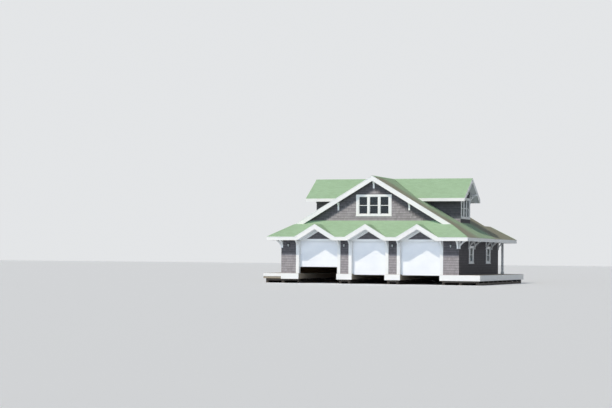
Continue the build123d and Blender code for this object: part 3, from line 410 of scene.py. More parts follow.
# Grey felt sheet, matte and gritty
membrane, add = new_finish("grey roofing felt sheet")
place = add("ShaderNodeTexCoord").outputs["Object"]
grit = add(NOISE, place, Scale=90.0, Detail=3.0, Roughness=0.55)
patch = add(NOISE, place, Scale=0.7, Detail=3.0, Roughness=0.55)
step = add(MATH, add(SPLIT, place).outputs["X"], SHEET_STEP, operation="PINGPONG")
lap = add(RANGE, step, 0.0, LAP_WIDTH, 0.0, 1.0)
colour = add(MIX, patch, linear("#6A756B"), linear("#7C877D"), data_type="RGBA")
colour = scaled(add, colour, add(RANGE, grit, *NOISE_SPAN, 0.92, 1.08), add(RANGE, lap, 0.0, 1.0, 0.8, 1.0))
end_finish(add, colour, lap, depth=0.004, roughness=0.88)
print(membrane.name, "has", len(membrane.node_tree.nodes), "nodes")

# %% [markdown]
# The CAD walls carry the shingles. Their outer faces only show in the joints, so they are dark building
# paper. Their inner faces are bare planed boards. One shader tells them apart: a face is an outer one where
# it looks away from the middle of the building.

# %% Wall core
WALL_BOARD, WALL_JOINT = 0.14, 0.005
HEART = (0.0, MIDDLE_Y, 3.0)

# Dull building paper outside, and dry planed softwood inside
wall_core, add = new_finish("building paper outside and planed boards inside")
place = add("ShaderNodeTexCoord").outputs["Object"]
from_heart = add(VECTOR_MATH, place, HEART, operation="SUBTRACT")
facing = add("ShaderNodeNewGeometry").outputs["Normal"]
outwards = add(VECTOR_MATH, from_heart, facing, operation="DOT_PRODUCT")
is_outer = add(MATH, outwards, 0.0, operation="GREATER_THAN")
step = add(MATH, add(SPLIT, place).outputs["Z"], WALL_BOARD / 2, operation="PINGPONG")
joint = add(RANGE, step, 0.0, WALL_JOINT, 0.6, 1.0)
grain = add(NOISE, add(MAPPING, place, Scale=(0.15, 0.15, 1.0)), Scale=10.0, Detail=4.0, Roughness=0.55)
boards = scaled(add, add(MIX, grain, linear("#A38C6E"), linear("#B59E80"), data_type="RGBA"), joint)
paper = add(MIX, grain, linear("#4A4544"), linear("#575250"), data_type="RGBA")
colour = add(MIX, is_outer, boards, paper, data_type="RGBA")
end_finish(add, colour, joint, depth=0.002, roughness=0.8)
print("wall boards are", WALL_BOARD, "m high")

# %% [markdown]
# A roof slab is matchboard painted white below and dark felt above. Its shader picks between them by whether
# the face looks up. The boards run level, along their own eaves, so there is one finish for slopes that fall
# to the sides and one for those that fall to the front and rear.

# %% Roof slabs
SOFFIT_BOARD, SOFFIT_GROOVE = 0.09, 0.006
LOOKS_UP = 0.1


def slab_finish(name, along):
    """White matchboard soffit under a roof slab, and dark felt on top of it."""
    material, add = new_finish(name)
    place = add("ShaderNodeTexCoord").outputs["Object"]
    facing = add(SPLIT, add("ShaderNodeNewGeometry").outputs["Normal"]).outputs["Z"]
    is_top = add(MATH, facing, LOOKS_UP, operation="GREATER_THAN")
    step = add(MATH, add(SPLIT, place).outputs[along], SOFFIT_BOARD / 2, operation="PINGPONG")
    groove = add(RANGE, step, 0.0, SOFFIT_GROOVE)
    boards = add(MIX, groove, linear("#BCC1C5"), linear("#EEF0F0"), data_type="RGBA")
    colour = add(MIX, is_top, boards, linear("#5E7059"), data_type="RGBA")
    end_finish(add, colour, groove, depth=0.003, roughness=0.5)
    return material


# Satin white with a shadow in each groove
slab_side = slab_finish("matchboard soffit at the sides", "X")
slab_front = slab_finish("matchboard soffit at the front", "Y")
print("soffit boards are", SOFFIT_BOARD, "m wide")

# %% [markdown]
# Window glass is clear float glass, a trace green and not quite flat. The rooms behind it are dark, so it
# mostly mirrors the sky. The lamps by the doors are steel with a black powder coat, which has a very fine
# grain, and they have panes of frosted glass. The rubber strip under each boat door is dull and nearly
# black.

# %% Glass, lamp metal and rubber
# Clear and polished, with a slow wave in it
glass, add = new_finish("clear float glass")
waves = add(NOISE, add("ShaderNodeTexCoord").outputs["Object"], Scale=2.5, Detail=1.0, Roughness=0.55)
end_finish(add, linear("#45666A"), waves, depth=0.0008, roughness=0.02, IOR=1.3, Transmission_Weight=1.0)


def speckled(name, first, second, size, roughness, relief, **more):
    """Small hard fittings: two close tones in a fine noise, and a trace of relief."""
    material, add = new_finish(name)
    place = add("ShaderNodeTexCoord").outputs["Object"]
    grit = add(NOISE, place, Scale=size, Detail=3.0, Roughness=0.55)
    colour = add(MIX, grit, linear(first), linear(second), data_type="RGBA")
    end_finish(add, colour, grit, relief, roughness, **more)
    return material


# Powder coat with a low sheen, glass etched dull, and old rubber
lamp_metal = speckled(
    "black powder coat on steel", "#35383B", "#44484B", size=300.0, roughness=0.38, relief=0.0002
)
frosted_glass = speckled(
    "frosted lamp glass", "#BDC1BF", "#C9CCC9", size=40.0, roughness=0.3, relief=0.0002,
    Transmission_Weight=0.15,
)
rubber = speckled(
    "black rubber door seal", "#1D1E1F", "#262829", size=120.0, roughness=0.7, relief=0.0004
)
print("finishes so far", len(bpy.data.materials))

# %% [markdown]
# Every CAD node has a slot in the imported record, which says what it is made of. The finishes go on by these
# slots. The four slabs that fall to the front or rear have their soffit boards turned that way.

# %% Put the finishes on the frame
FINISH_OF_SLOT = {
    "wall_shingles": wall_core, "roof_shingles": slab_side, "flat_roofing": membrane,
    "white_trim": white_paint, "door_panels": door_paint, "deck_boards": deck_wood,
    "floor_boards": floor_wood, "crib_timber": crib_wood, "window_glass": glass, "lamp_metal": lamp_metal,
}
FRONT_SLABS = ("front_pent_roof", "rear_pent_roof", "left_dormer_roof", "right_dormer_roof")
for part in frame["record"]["subparts"]:
    slots = frame["nodes"][part["node"]].data.materials
    slots.clear()
    slots.append(slab_front if part["node"] in FRONT_SLABS else FINISH_OF_SLOT[part["material_slot"]])

# %% [markdown]
# ## Shingle courses
# A shingled surface is the same rule on a wall or a roof: rows of thin wedges, thick at the lower edge, with
# the joints moved along from row to row. A Geometry Nodes tree lays them on a flat field, and a Boolean with
# the outline of the real surface trims them, as a roofer does at a hip, a valley or a window. The field is
# laid flat and then turned into place. First come its rows, its columns and the joints between them.

# %% Rows, columns and joints
RANDOM = "FunctionNodeRandomValue"
ROW_STRIDE = 997.0


def new_tree(name, numbers, **others):
    """Geometry Nodes group with these inputs. Gives it, a function that adds nodes to it, and its inputs."""
    tree = bpy.data.node_groups.new(name, "GeometryNodeTree")
    for label, kind in {**dict.fromkeys(numbers, "Float"), **others}.items():
        tree.interface.new_socket(label, in_out="INPUT", socket_type="NodeSocket" + kind)
    tree.interface.new_socket("Mesh", in_out="OUTPUT", socket_type="NodeSocketGeometry")
    add = partial(node, tree)
    return tree, add, add("NodeGroupInput").outputs


courses, add, field = new_tree(
    "shingle courses", ["Run", "Rise", "Width", "Exposure", "Butt", "Taper", "Gap", "Row Gap", "Wander"],
    Seed="Int", Outline="Object", Material="Material",
)
columns = add(MATH, add(MATH, field["Run"], field["Width"], operation="DIVIDE"), operation="CEIL")
columns = add(MATH, columns, 2.0, operation="ADD")
rows = add(MATH, add(MATH, field["Rise"], field["Exposure"], operation="DIVIDE"), operation="CEIL")
points = add("GeometryNodePoints", add(MATH, columns, rows, operation="MULTIPLY"))
index = add("GeometryNodeInputIndex")
row = add(MATH, add(MATH, index, 0.5, operation="ADD"), columns, operation="DIVIDE")
row = add(MATH, row, operation="FLOOR")
column = add(MATH, index, add(MATH, row, columns, operation="MULTIPLY"), operation="SUBTRACT")


def joint_place(step):
    """Where this column's left (0) or right (1) joint comes, moved along by half a shingle each row."""
    first = add(MATH, row, ROW_STRIDE, operation="MULTIPLY")
    number = add(MATH, first, add(MATH, column, step, operation="ADD"), operation="ADD")
    nudge = add(RANDOM, -0.5, 0.5, number, field["Seed"], data_type="FLOAT")
    stagger = add(MATH, add(MATH, row, 2.0, operation="MODULO"), 0.5, operation="MULTIPLY")
    wander = add(MATH, nudge, field["Wander"], operation="MULTIPLY")
    moved = add(MATH, stagger, wander, operation="ADD")
    place = add(MATH, add(MATH, column, step - 1.5, operation="ADD"), moved, operation="ADD")
    return add(MATH, place, field["Width"], operation="MULTIPLY")


joints = joint_place(0), joint_place(1)
centre = add(MATH, add(MATH, *joints, operation="ADD"), 0.5, operation="MULTIPLY")
width = add(MATH, add(MATH, *reversed(joints), operation="SUBTRACT"), field["Gap"], operation="SUBTRACT")
height = add(MATH, field["Exposure"], field["Row Gap"], operation="SUBTRACT")
spot = add(VECTOR, centre, add(MATH, row, field["Exposure"], operation="MULTIPLY"))
spots = add("GeometryNodeSetPosition", points, Position=spot)
print("inputs of the shingle tree:", len(field) - 1)

# %% [markdown]
# One wedge is a unit cube whose upper end is thinned, so that it slides under the next row. It reaches a
# little way below its face too, so that no gap shows under it. The wedge is set on every spot, the numbers
# for the finish are stored, and the outline trims the whole field. A Boolean keeps numbers on faces and
# their corners, so they are moved there first.

# %% The wedge and the trimmed field
STORE = "GeometryNodeStoreNamedAttribute"
INTO_WALL = 0.2


def set_out(add, spots, shape, seed, material, size=(1.0, 1.0, 1.0), outline=None):
    """Ends a tree: a shape on every spot with a tone of its own, trimmed by the outline if there is one."""
    whole = add("GeometryNodeInstanceOnPoints", spots, Instance=shape, Scale=size)
    tone = add(RANDOM, Seed=seed, data_type="FLOAT")
    whole = add(STORE, whole, Name="tone", Value=tone, data_type="FLOAT", domain="INSTANCE")
    whole = add("GeometryNodeRealizeInstances", whole)
    for name, domain in (("tone", "FACE"), ("rise", "CORNER")):
        value = add("GeometryNodeInputNamedAttribute", name, data_type="FLOAT")
        whole = add(STORE, whole, Name=name, Value=value, data_type="FLOAT", domain=domain)
    if outline:
        cutter = add("GeometryNodeObjectInfo", outline).outputs["Geometry"]
        whole = add("GeometryNodeMeshBoolean", [whole, cutter], operation="INTERSECT", solver="MANIFOLD")
    add("NodeGroupOutput", Mesh=add("GeometryNodeSetMaterial", whole, Material=material))


corner = add(SPLIT, add("GeometryNodeInputPosition")).outputs
is_face = add(MATH, corner["Z"], 0.0, operation="GREATER_THAN")
is_upper = add(MATH, corner["Y"], 0.0, operation="GREATER_THAN")
thin = add(MATH, 1.0, add(MATH, is_upper, field["Taper"], operation="MULTIPLY"), operation="SUBTRACT")
lift = add(MATH, is_face, add(MATH, thin, INTO_WALL, operation="ADD"), operation="MULTIPLY")
lift = add(MATH, lift, INTO_WALL, operation="SUBTRACT")
rise = add(MATH, corner["Y"], 0.5, operation="ADD")
wedge = add(STORE, add("GeometryNodeMeshCube"), Name="rise", Value=rise, data_type="FLOAT", domain="POINT")
wedge = add("GeometryNodeSetPosition", wedge, Position=add(VECTOR, corner["X"], rise, lift))
size = add(VECTOR, width, height, field["Butt"])
set_out(add, spots, wedge, field["Seed"], field["Material"], size, field["Outline"])
print("the shingle tree has", len(courses.nodes), "nodes")

# %% [markdown]
# ## Laying a field
# A flat face is described by its origin, the level direction across it and the direction up it. The
# outline's corners are given in the building's own frame, dropped onto that flat face, and thickened into
# the cutter.

# %% Outlines and laying
WALL_SHINGLE = {
    "Width": 0.15, "Exposure": 0.18, "Butt": 0.017, "Taper": 0.85, "Gap": 0.004, "Row Gap": 0.0005,
    "Wander": 0.55,
}
ROOF_SHINGLE = {
    "Width": 0.33, "Exposure": 0.14, "Butt": 0.008, "Taper": 0.75, "Gap": 0.005, "Row Gap": 0.0005,
    "Wander": 0.0,
}


class Face:
    """A flat face of the building: local x runs across it, y up it, and z out of it."""

    def __init__(self, origin, across, up=(0, 0, 1)):
        self.across, self.up = Vector(across).normalized(), Vector(up).normalized()
        self.out = self.across.cross(self.up)
        self.origin = Vector(origin)

    def drop(self, point):
        offset = Vector(point) - self.origin
        return offset.dot(self.across), offset.dot(self.up)

    def lift(self, across, up):
        return self.origin + self.across * across + self.up * up

    def matrix(self, corner=(0, 0)):
        turn = Matrix((self.across, self.up, self.out)).transposed().to_4x4()
        return Matrix.Translation(self.lift(corner[0], corner[1])) @ turn


def shaped(name, work, material=None):
    """Object from a bmesh, which is freed."""
    mesh = bpy.data.meshes.new(name)
    work.to_mesh(mesh)
    work.free()
    if material:
        mesh.materials.append(material)
    return placed(name, mesh)


def tree_mesh(tree, values):
    """Runs a tree with these input values and gives its result as a plain object."""
    carrier = placed("carrier", bpy.data.meshes.new("carrier"))
    modifier = carrier.modifiers.new("tree", "NODES")
    modifier.node_group = tree
    for item in tree.interface.items_tree:
        if item.in_out == "INPUT":
            modifier[item.identifier] = values[item.name]
    depsgraph = bpy.context.evaluated_depsgraph_get()
    mesh = bpy.data.meshes.new_from_object(carrier.evaluated_get(depsgraph), depsgraph=depsgraph)
    bpy.data.objects.remove(carrier)
    return placed("laid", mesh)


def flat_prism(loops, low, high):
    """Closed mesh of a flat outline and its holes, from height low to high. It cuts, and isn't shown."""
    flat = [[Vector((u, v, 0)) for u, v in loop] for loop in loops]
    work = bmesh.new()
    bottom, top = [[work.verts.new((p.x, p.y, z)) for loop in flat for p in loop] for z in (low, high)]
    for a, b, c in tessellate_polygon(flat):
        work.faces.new((bottom[c], bottom[b], bottom[a]))
        work.faces.new((top[a], top[b], top[c]))
    start = 0
    for loop in loops:
        for i in range(len(loop)):
            a, b = start + i, start + (i + 1) % len(loop)
            work.faces.new((bottom[a], bottom[b], top[b], top[a]))
        start += len(loop)
    bmesh.ops.recalc_face_normals(work, faces=work.faces)
    return shaped("cutter", work)


def lay_courses(face, low, high, cutter, kind, material, seed):
    """Fills the field from low to high on a face, trims it with the cutter and turns it into place."""
    run, rise = high[0] - low[0], high[1] - low[1]
    made = tree_mesh(courses, dict(kind, Run=run, Rise=rise, Seed=seed, Outline=cutter, Material=material))
    made.data.transform(face.matrix(low))
    bpy.data.objects.remove(cutter)
    return made


def lay_shingles(face, outline, seed, kind, material, holes=()):
    """Covers the outline on a face with shingles, and gives them placed in the building's frame."""
    flat = [[face.drop(point) for point in loop] for loop in (outline, *holes)]
    low, high = [tuple(pick(p[i] for p in flat[0]) for i in (0, 1)) for pick in (min, max)]
    moved = [[(u - low[0], v - low[1]) for u, v in loop] for loop in flat]
    cutter = flat_prism(moved, -kind["Butt"], 2 * kind["Butt"])
    return lay_courses(face, low, high, cutter, kind, material, seed)


def join(name, parts):
    """Joins several objects of one finish into one piece that rides on the building."""
    work = bmesh.new()
    material = next(used for used in parts[0].data.materials if used)
    for part in parts:
        work.from_mesh(part.data)
        bpy.data.objects.remove(part)
    for face in work.faces:
        face.material_index = 0
    made = shaped(name, work, material)
    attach(made, "root")
    print(name, len(made.data.polygons), "faces")
    return made


print("shingles", WALL_SHINGLE["Width"], "m wide on walls and", ROOF_SHINGLE["Width"], "m on roofs")

# %% [markdown]
# ## Wall shingles
# The ground storey is shingled from the deck up to the soffit. Each wall is one face, and its outline leaves
# out the doorways. The windows' holes are found in the CAD itself: each casing is a group of joined corners
# that stands a little out of the wall.

# %% Front and side walls
SAME_CORNER = 1e-5
NEAR_WALL, STANDS_OUT, CASING_LAP = 0.2, 0.02, 0.03
WALL_HEAD_Z = main_top(WALL_X) - ROOF_DEPTH
CORNER_LAP = WALL_SHINGLE["Butt"]
front_face, rear_face = Face((0, FRONT_Y, 0), (1, 0, 0)), Face((0, REAR_Y, 0), (-1, 0, 0))
right_face, left_face = [Face((side * WALL_X, 0, 0), (0, side, 0)) for side in (1, -1)]
lay_wall = partial(lay_shingles, kind=WALL_SHINGLE, material=cedar)


def casings(node_name, face):
    """Rectangle of each casing of a window node that stands on this face, less what the shingles lap it."""
    work = bmesh.new()
    work.from_mesh(frame["nodes"][node_name].data)
    bmesh.ops.remove_doubles(work, verts=work.verts, dist=SAME_CORNER)
    left, found = set(work.verts), []
    while left:
        group = [left.pop()]
        for vert in group:
            for other in [edge.other_vert(vert) for edge in vert.link_edges]:
                if other in left:
                    left.remove(other)
                    group.append(other)
        depths = [(vert.co - face.origin).dot(face.out) for vert in group]
        if max(depths) < NEAR_WALL and min(depths) > -NEAR_WALL:
            flat = [face.drop(vert.co) for vert, depth in zip(group, depths) if depth > STANDS_OUT]
            (a, c), (b, d) = [tuple(pick(p[i] for p in flat) for i in (0, 1)) for pick in (min, max)]
            a, b = a + CASING_LAP, b - CASING_LAP
            found.append([face.lift(u, v) for u, v in ((a, c), (b, c), (b, d), (a, d))])
    work.free()
    return found


def front_outline():
    """The front wall's outline, with the doorways cut up from below and the three gablet peaks."""
    edge, peak_z = WALL_X + CORNER_LAP, GABLET_Z - ROOF_DEPTH
    peak_half = (peak_z - WALL_HEAD_Z) / SLOPE
    points = [(-edge, DECK_TOP)]
    for centre, half in zip(DOOR_CENTRES, DOOR_CASING_HALF):
        points += [(centre - half, DECK_TOP), (centre - half, DOOR_CASING_TOP)]
        points += [(centre + half, DOOR_CASING_TOP), (centre + half, DECK_TOP)]
    points += [(edge, DECK_TOP), (edge, WALL_HEAD_Z)]
    for centre in reversed(DOOR_CENTRES):
        points += [(centre + peak_half, WALL_HEAD_Z), (centre, peak_z), (centre - peak_half, WALL_HEAD_Z)]
    return [(x, FRONT_Y, z) for x, z in (*points, (-edge, WALL_HEAD_Z))]


front_piece = join("front_wall_shingles", [lay_wall(front_face, front_outline(), 11)])
side_parts = []
for face, side in ((right_face, 1), (left_face, -1)):
    corners = ((FRONT_Y, DECK_TOP), (REAR_Y, DECK_TOP), (REAR_Y, WALL_HEAD_Z), (FRONT_Y, WALL_HEAD_Z))
    outline = [(side * WALL_X, y, z) for y, z in corners]
    side_parts.append(lay_wall(face, outline, 20 + side, holes=casings("ground_windows", face)))
join("side_wall_shingles", side_parts)

# %% [markdown]
# The rear wall has a door in the middle and a window on each side of it. Its shingles stop under the porch
# ceiling, which is lower than the soffits at the corners.

# %% Rear wall
PORCH_CEILING_Z = FLAT_Z - ROOF_DEPTH
REAR_DOOR_HALF, REAR_DOOR_TOP = 0.58, DECK_TOP + 2.16
edge = WALL_X + CORNER_LAP
rear_outline = [
    (edge, DECK_TOP), (REAR_DOOR_HALF, DECK_TOP), (REAR_DOOR_HALF, REAR_DOOR_TOP),
    (-REAR_DOOR_HALF, REAR_DOOR_TOP), (-REAR_DOOR_HALF, DECK_TOP), (-edge, DECK_TOP),
    (-edge, WALL_HEAD_Z), (-FLAT_X, PORCH_CEILING_Z), (FLAT_X, PORCH_CEILING_Z), (edge, WALL_HEAD_Z),
]
rear_part = lay_wall(
    rear_face, [(x, REAR_Y, z) for x, z in rear_outline], 31, holes=casings("ground_windows", rear_face)
)
join("rear_wall_shingles", [rear_part])

# %% [markdown]
# The two gable walls are triangles under the main roof. The front one starts where the lower front slope
# meets it, and the rear one on the flat porch roof.

# %% Gable walls above the lower roofs
PENT_TOP_Z = EAVE_Z + SLOPE * (GABLE_FRONT_Y + EAVE_Y)
gable_faces = [Face((0, GABLE_FRONT_Y, 0), (1, 0, 0)), Face((0, GABLE_REAR_Y, 0), (-1, 0, 0))]
gable_parts = []
for face, foot, seed in zip(gable_faces, (PENT_TOP_Z, FLAT_Z), (41, 42)):
    y, peak = face.origin.y, RIDGE_Z - ROOF_DEPTH
    half = (peak - foot) / SLOPE
    outline = [(-half, y, foot), (half, y, foot), (0, y, peak)]
    gable_parts.append(lay_wall(face, outline, seed, holes=casings("gable_windows", face)))
gable_piece = join("gable_wall_shingles", gable_parts)

# %% [markdown]
# A dormer has an end wall with windows, and two cheeks, which are triangles between the main roof and its
# own eaves. The end wall laps the cheeks by the thickness of a shingle, so the corners close.

# %% Dormer walls
DORMER_FOOT_Z = main_top(DORMER_X)
DORMER_HEAD_Z = cross_top(MIDDLE_Y + DORMER_HALF) - ROOF_DEPTH
CHEEK_START_X = (RIDGE_Z - DORMER_HEAD_Z) / SLOPE
dormer_ends = [Face((side * DORMER_X, MIDDLE_Y, 0), (0, side, 0)) for side in (1, -1)]
dormer_parts = []
for side, end in zip((1, -1), dormer_ends):
    end_x, lap = side * DORMER_X, DORMER_HALF + CORNER_LAP
    corners = (
        (-lap, DORMER_FOOT_Z), (lap, DORMER_FOOT_Z), (lap, DORMER_HEAD_Z), (0, RIDGE_Z - ROOF_DEPTH),
        (-lap, DORMER_HEAD_Z),
    )
    outline = [(end_x, MIDDLE_Y + y, z) for y, z in corners]
    dormer_parts.append(lay_wall(end, outline, 50 + side, holes=casings("dormer_windows", end)))
    for hand in (1, -1):
        y = MIDDLE_Y + hand * DORMER_HALF
        corners = ((side * CHEEK_START_X, DORMER_HEAD_Z), (end_x, DORMER_FOOT_Z), (end_x, DORMER_HEAD_Z))
        cheek = Face((0, y, 0), (-hand, 0, 0))
        dormer_parts.append(lay_wall(cheek, [(x, y, z) for x, z in corners], 60 + 2 * side + hand))
dormer_piece = join("dormer_wall_shingles", dormer_parts)

# %% [markdown]
# The shingles that look to the water are pale below a line under the eaves and dark above it. This is partly
# the fading of sun and rain and partly painted shade, with the line set where the eaves' shadow falls. Each
# shingle is given one number for it, which changes over about 0.2 m, so the line follows the rows.

# %% Paint the eave shade and the sun-fading on the walls that look to the water
PAINTED_SHADE_BLUR = 0.2
LOOKS_TO_WATER = -0.5
# How light a wall stays in its painted eave shade, and how far that painted shade reaches down from its eaves
# or soffit
FRONT_PAINTED_SHADE, GABLE_PAINTED_SHADE, DORMER_PAINTED_SHADE = (0.19, 1.0), (0.12, 0.75), (0.10, 1.15)
EAVE_FOOT_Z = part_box("eave_fascia")[0].z
CROSS_EAVE_FOOT_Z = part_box("dormer_barge_boards")[0].z


def paint_eave_shade(piece, least, reach, eaves):
    """Stores how lit and sun-faded each face that looks to the water is: fully below the painted eave shade,
    and least in it.
    """
    exposed = piece.data.attributes.new("exposed", "FLOAT", "FACE")
    count = 0
    for face in piece.data.polygons:
        if face.normal.y < LOOKS_TO_WATER:
            # Painted shade: faces above the line where the eaves' shadow falls get the dark tones
            below = eaves(face.center) - reach - face.center.z
            share = min(max(0.5 + below / PAINTED_SHADE_BLUR, 0.0), 1.0)
            exposed.data[face.index].value = least + (1 - least) * share
            count += below > 0
    print(piece.name, count, "faces in the sun")


paint_eave_shade(front_piece, *FRONT_PAINTED_SHADE, lambda spot: EAVE_FOOT_Z)
paint_eave_shade(gable_piece, *GABLE_PAINTED_SHADE, lambda spot: main_top(spot.x) - ROOF_DEPTH)
paint_eave_shade(dormer_piece, *DORMER_PAINTED_SHADE, lambda spot: CROSS_EAVE_FOOT_Z)

# %% [markdown]
# ## Roof shingles
# The roofs use the same tree, with wider and thinner shingles that have even joints. Each slope's outline is
# drawn in plan, and its corners are lifted onto the slope. The main slopes are cut out along the valleys,
# where the dormer roofs come in.

# %% Main and dormer roofs
EDGE_SETBACK, RIDGE_GAP = 0.006, 0.05
EDGE_X, EDGE_Y = EAVE_X - EDGE_SETBACK, EAVE_Y - EDGE_SETBACK
VALLEY_RATIO = CROSS_SLOPE / SLOPE


def roof_field(heading, plan, height, seed, pitch=PITCH, material=felt_green):
    """Shingles on the slope that falls towards heading. The height function lifts its plan corners."""
    lifted = [(x, y, height(x, y)) for x, y in plan]
    out_x, out_y = heading
    up = (-out_x * math.cos(pitch), -out_y * math.cos(pitch), math.sin(pitch))
    return lay_shingles(Face(lifted[0], (-out_y, out_x, 0), up), lifted, seed, ROOF_SHINGLE, material)


def main_plan(side):
    hip_front = EAVE_X - (RAKE_FRONT_Y + EAVE_Y)
    points = [
        (0, RAKE_FRONT_Y), (hip_front, RAKE_FRONT_Y), (EDGE_X, -EDGE_Y), (EDGE_X, EDGE_Y), (FLAT_X, FLAT_Y),
        (FLAT_X, RAKE_REAR_Y), (0, RAKE_REAR_Y), (0, MIDDLE_Y + RIDGE_GAP),
        (DORMER_HALF * VALLEY_RATIO, MIDDLE_Y + DORMER_HALF), (DORMER_X, MIDDLE_Y + DORMER_HALF),
        (DORMER_X, MIDDLE_Y - DORMER_HALF), (DORMER_HALF * VALLEY_RATIO, MIDDLE_Y - DORMER_HALF),
        (0, MIDDLE_Y - RIDGE_GAP),
    ]
    return [(side * x, y) for x, y in points]


def cross_plan(side, hand):
    points = [(RIDGE_GAP, 0), (CROSS_X, 0), (CROSS_X, CROSS_HALF), (CROSS_HALF * VALLEY_RATIO, CROSS_HALF)]
    return [(side * x, MIDDLE_Y + hand * y) for x, y in points]


main_parts = [
    roof_field((side, 0), main_plan(side), lambda x, y: main_top(x), 70 + side, material=worn_felt)
    for side in (1, -1)
]
join("main_roof_shingles", main_parts)
cross_parts = [
    roof_field(
        (0, hand), cross_plan(side, hand), lambda x, y: cross_top(y), 80 + 2 * side + hand, pitch=CROSS_PITCH
    )
    for side in (1, -1) for hand in (1, -1)
]
join("dormer_roof_shingles", cross_parts)

# %% [markdown]
# Over the doors the lower front slope runs from hip to hip, and three little gablets rise out of it. A
# narrow skirt closes the main roof above the porch. They are one piece of the same felt shingles.

# %% Lower roofs
back = EAVE_X - (GABLE_FRONT_Y + EAVE_Y)
valley_y = GABLET_HALF - EAVE_Y
pent = [(-EDGE_X, -EDGE_Y)]
for centre in DOOR_CENTRES:
    pent += [(centre - GABLET_HALF, -EDGE_Y), (centre, valley_y), (centre + GABLET_HALF, -EDGE_Y)]
pent += [(EDGE_X, -EDGE_Y), (back, GABLE_FRONT_Y), (-back, GABLE_FRONT_Y)]
skirt = [(EDGE_X, EDGE_Y), (-EDGE_X, EDGE_Y), (-FLAT_X, FLAT_Y), (FLAT_X, FLAT_Y)]
lower_parts = [
    roof_field((0, -1), pent, lambda x, y: EAVE_Z + SLOPE * (y + EAVE_Y), 91),
    roof_field((0, 1), skirt, lambda x, y: EAVE_Z + SLOPE * (EAVE_Y - y), 92),
]
for centre in DOOR_CENTRES:
    for side in (1, -1):
        plan = [(centre, -EDGE_Y), (centre + side * GABLET_HALF, -EDGE_Y), (centre, valley_y)]
        lower_parts.append(
            roof_field((side, 0), plan, lambda x, y: GABLET_Z - SLOPE * abs(x - centre), 95 + side)
        )
join("lower_roof_shingles", lower_parts)

# %% [markdown]
# ## Ridge and hip caps
# Ridges and hips are closed with a row of short shingles folded over the edge, each lapping the one before
# it. The tree sets one folded cap at every step of a line. The fold is the drop for each metre out from the
# edge, so the same tree serves the steep ridges and the flatter hips.

# %% The cap tree
CAP_TAPER, CAP_COVER = 0.7, 0.985

caps, add, line = new_tree(
    "folded caps", ["Length", "Exposure", "Half Width", "Fold", "Thickness"], Seed="Int", Material="Material"
)
count = add(MATH, add(MATH, line["Length"], line["Exposure"], operation="DIVIDE"), operation="ROUND")
step = add(MATH, line["Length"], count, operation="DIVIDE")
spots = add("GeometryNodeMeshLine", Count=count, Offset=add(VECTOR, step))
sheet = add("GeometryNodeMeshCube", Vertices_X=2, Vertices_Y=3, Vertices_Z=2)
corner = add(SPLIT, add("GeometryNodeInputPosition")).outputs
rise = add(MATH, corner["X"], 0.5, operation="ADD")
along = add(MATH, rise, add(MATH, step, CAP_COVER, operation="MULTIPLY"), operation="MULTIPLY")
out = add(MATH, add(MATH, corner["Y"], 2.0, operation="MULTIPLY"), line["Half Width"], operation="MULTIPLY")
thin = add(MATH, 1.0, add(MATH, rise, CAP_TAPER, operation="MULTIPLY"), operation="SUBTRACT")
thick = add(MATH, add(MATH, corner["Z"], 0.5, operation="ADD"), line["Thickness"], operation="MULTIPLY")
drop = add(MATH, add(MATH, out, operation="ABSOLUTE"), line["Fold"], operation="MULTIPLY")
height = add(MATH, add(MATH, thick, thin, operation="MULTIPLY"), drop, operation="SUBTRACT")
cap = add(STORE, sheet, Name="rise", Value=rise, data_type="FLOAT", domain="POINT")
cap = add("GeometryNodeSetPosition", cap, Position=add(VECTOR, along, out, height))
set_out(add, spots, cap, line["Seed"], line["Material"])
print("the cap tree has", len(caps.nodes), "nodes")

# %% [markdown]
# The main ridge runs from rake to rake, the two dormer ridges run out from it, and each gablet has a short
# one. Together they take the place of the plain CAD caps.

# %% Ridges
CAP = {"Exposure": 0.14, "Half Width": 0.14, "Thickness": 0.007, "Material": felt_green}
CAP_LIFT = 0.009
RAKE_LAP, GABLET_SETBACK = 0.012, 0.005


def lay_caps(start, end, first_slope, second_slope, seed):
    """Caps from start to end over the edge between two slopes, given by their outward directions."""
    start, end, first, second = map(Vector, (start, end, first_slope, second_slope))
    along = (end - start).normalized()
    rise = (first.normalized() + second.normalized()).normalized()
    fold = math.tan(first.angle(rise))
    made = tree_mesh(caps, dict(CAP, Length=(end - start).length, Fold=fold, Seed=seed))
    turn = Matrix((along, rise.cross(along), rise)).transposed().to_4x4()
    made.data.transform(Matrix.Translation(start + rise * CAP_LIFT) @ turn)
    return made


main_sides = ((SLOPE, 0, 1), (-SLOPE, 0, 1))
cross_sides = ((0, CROSS_SLOPE, 1), (0, -CROSS_SLOPE, 1))
ridge_rows = [
    lay_caps((0, RAKE_FRONT_Y - RAKE_LAP, RIDGE_Z), (0, RAKE_REAR_Y + RAKE_LAP, RIDGE_Z), *main_sides, 101)
]
for side in (1, -1):
    start, end = [(side * reach, MIDDLE_Y, RIDGE_Z) for reach in (CAP["Half Width"], CROSS_X + RAKE_LAP)]
    ridge_rows.append(lay_caps(start, end, *cross_sides, 103 + side))
for i, centre in enumerate(DOOR_CENTRES):
    start, end = [(centre, reach - EAVE_Y, GABLET_Z) for reach in (GABLET_SETBACK, GABLET_HALF)]
    ridge_rows.append(lay_caps(start, end, *main_sides, 105 + i))
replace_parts(join("ridge_cap_shingles", ridge_rows), "ridge_caps")

# %% [markdown]
# Four hips come down to the corners of the eaves. Their caps start a little above the corner, and end where
# the main gable's rake comes down in front, and at the porch roof behind.

# %% Hips
HIP_START, HIP_STOP = 0.15, 0.03
hip_rows = []
for side in (1, -1):
    for hand, reach in ((-1, RAKE_FRONT_Y + EAVE_Y), (1, EAVE_Y - FLAT_Y)):
        foot, head = [
            (side * (EAVE_X - back), hand * (EAVE_Y - back), EAVE_Z + SLOPE * back)
            for back in (HIP_START, reach - HIP_STOP)
        ]
        slopes = (side * SLOPE, 0, 1), (0, hand * SLOPE, 1)
        hip_rows.append(lay_caps(foot, head, *slopes, 110 + 2 * side + hand))
join("hip_cap_shingles", hip_rows)

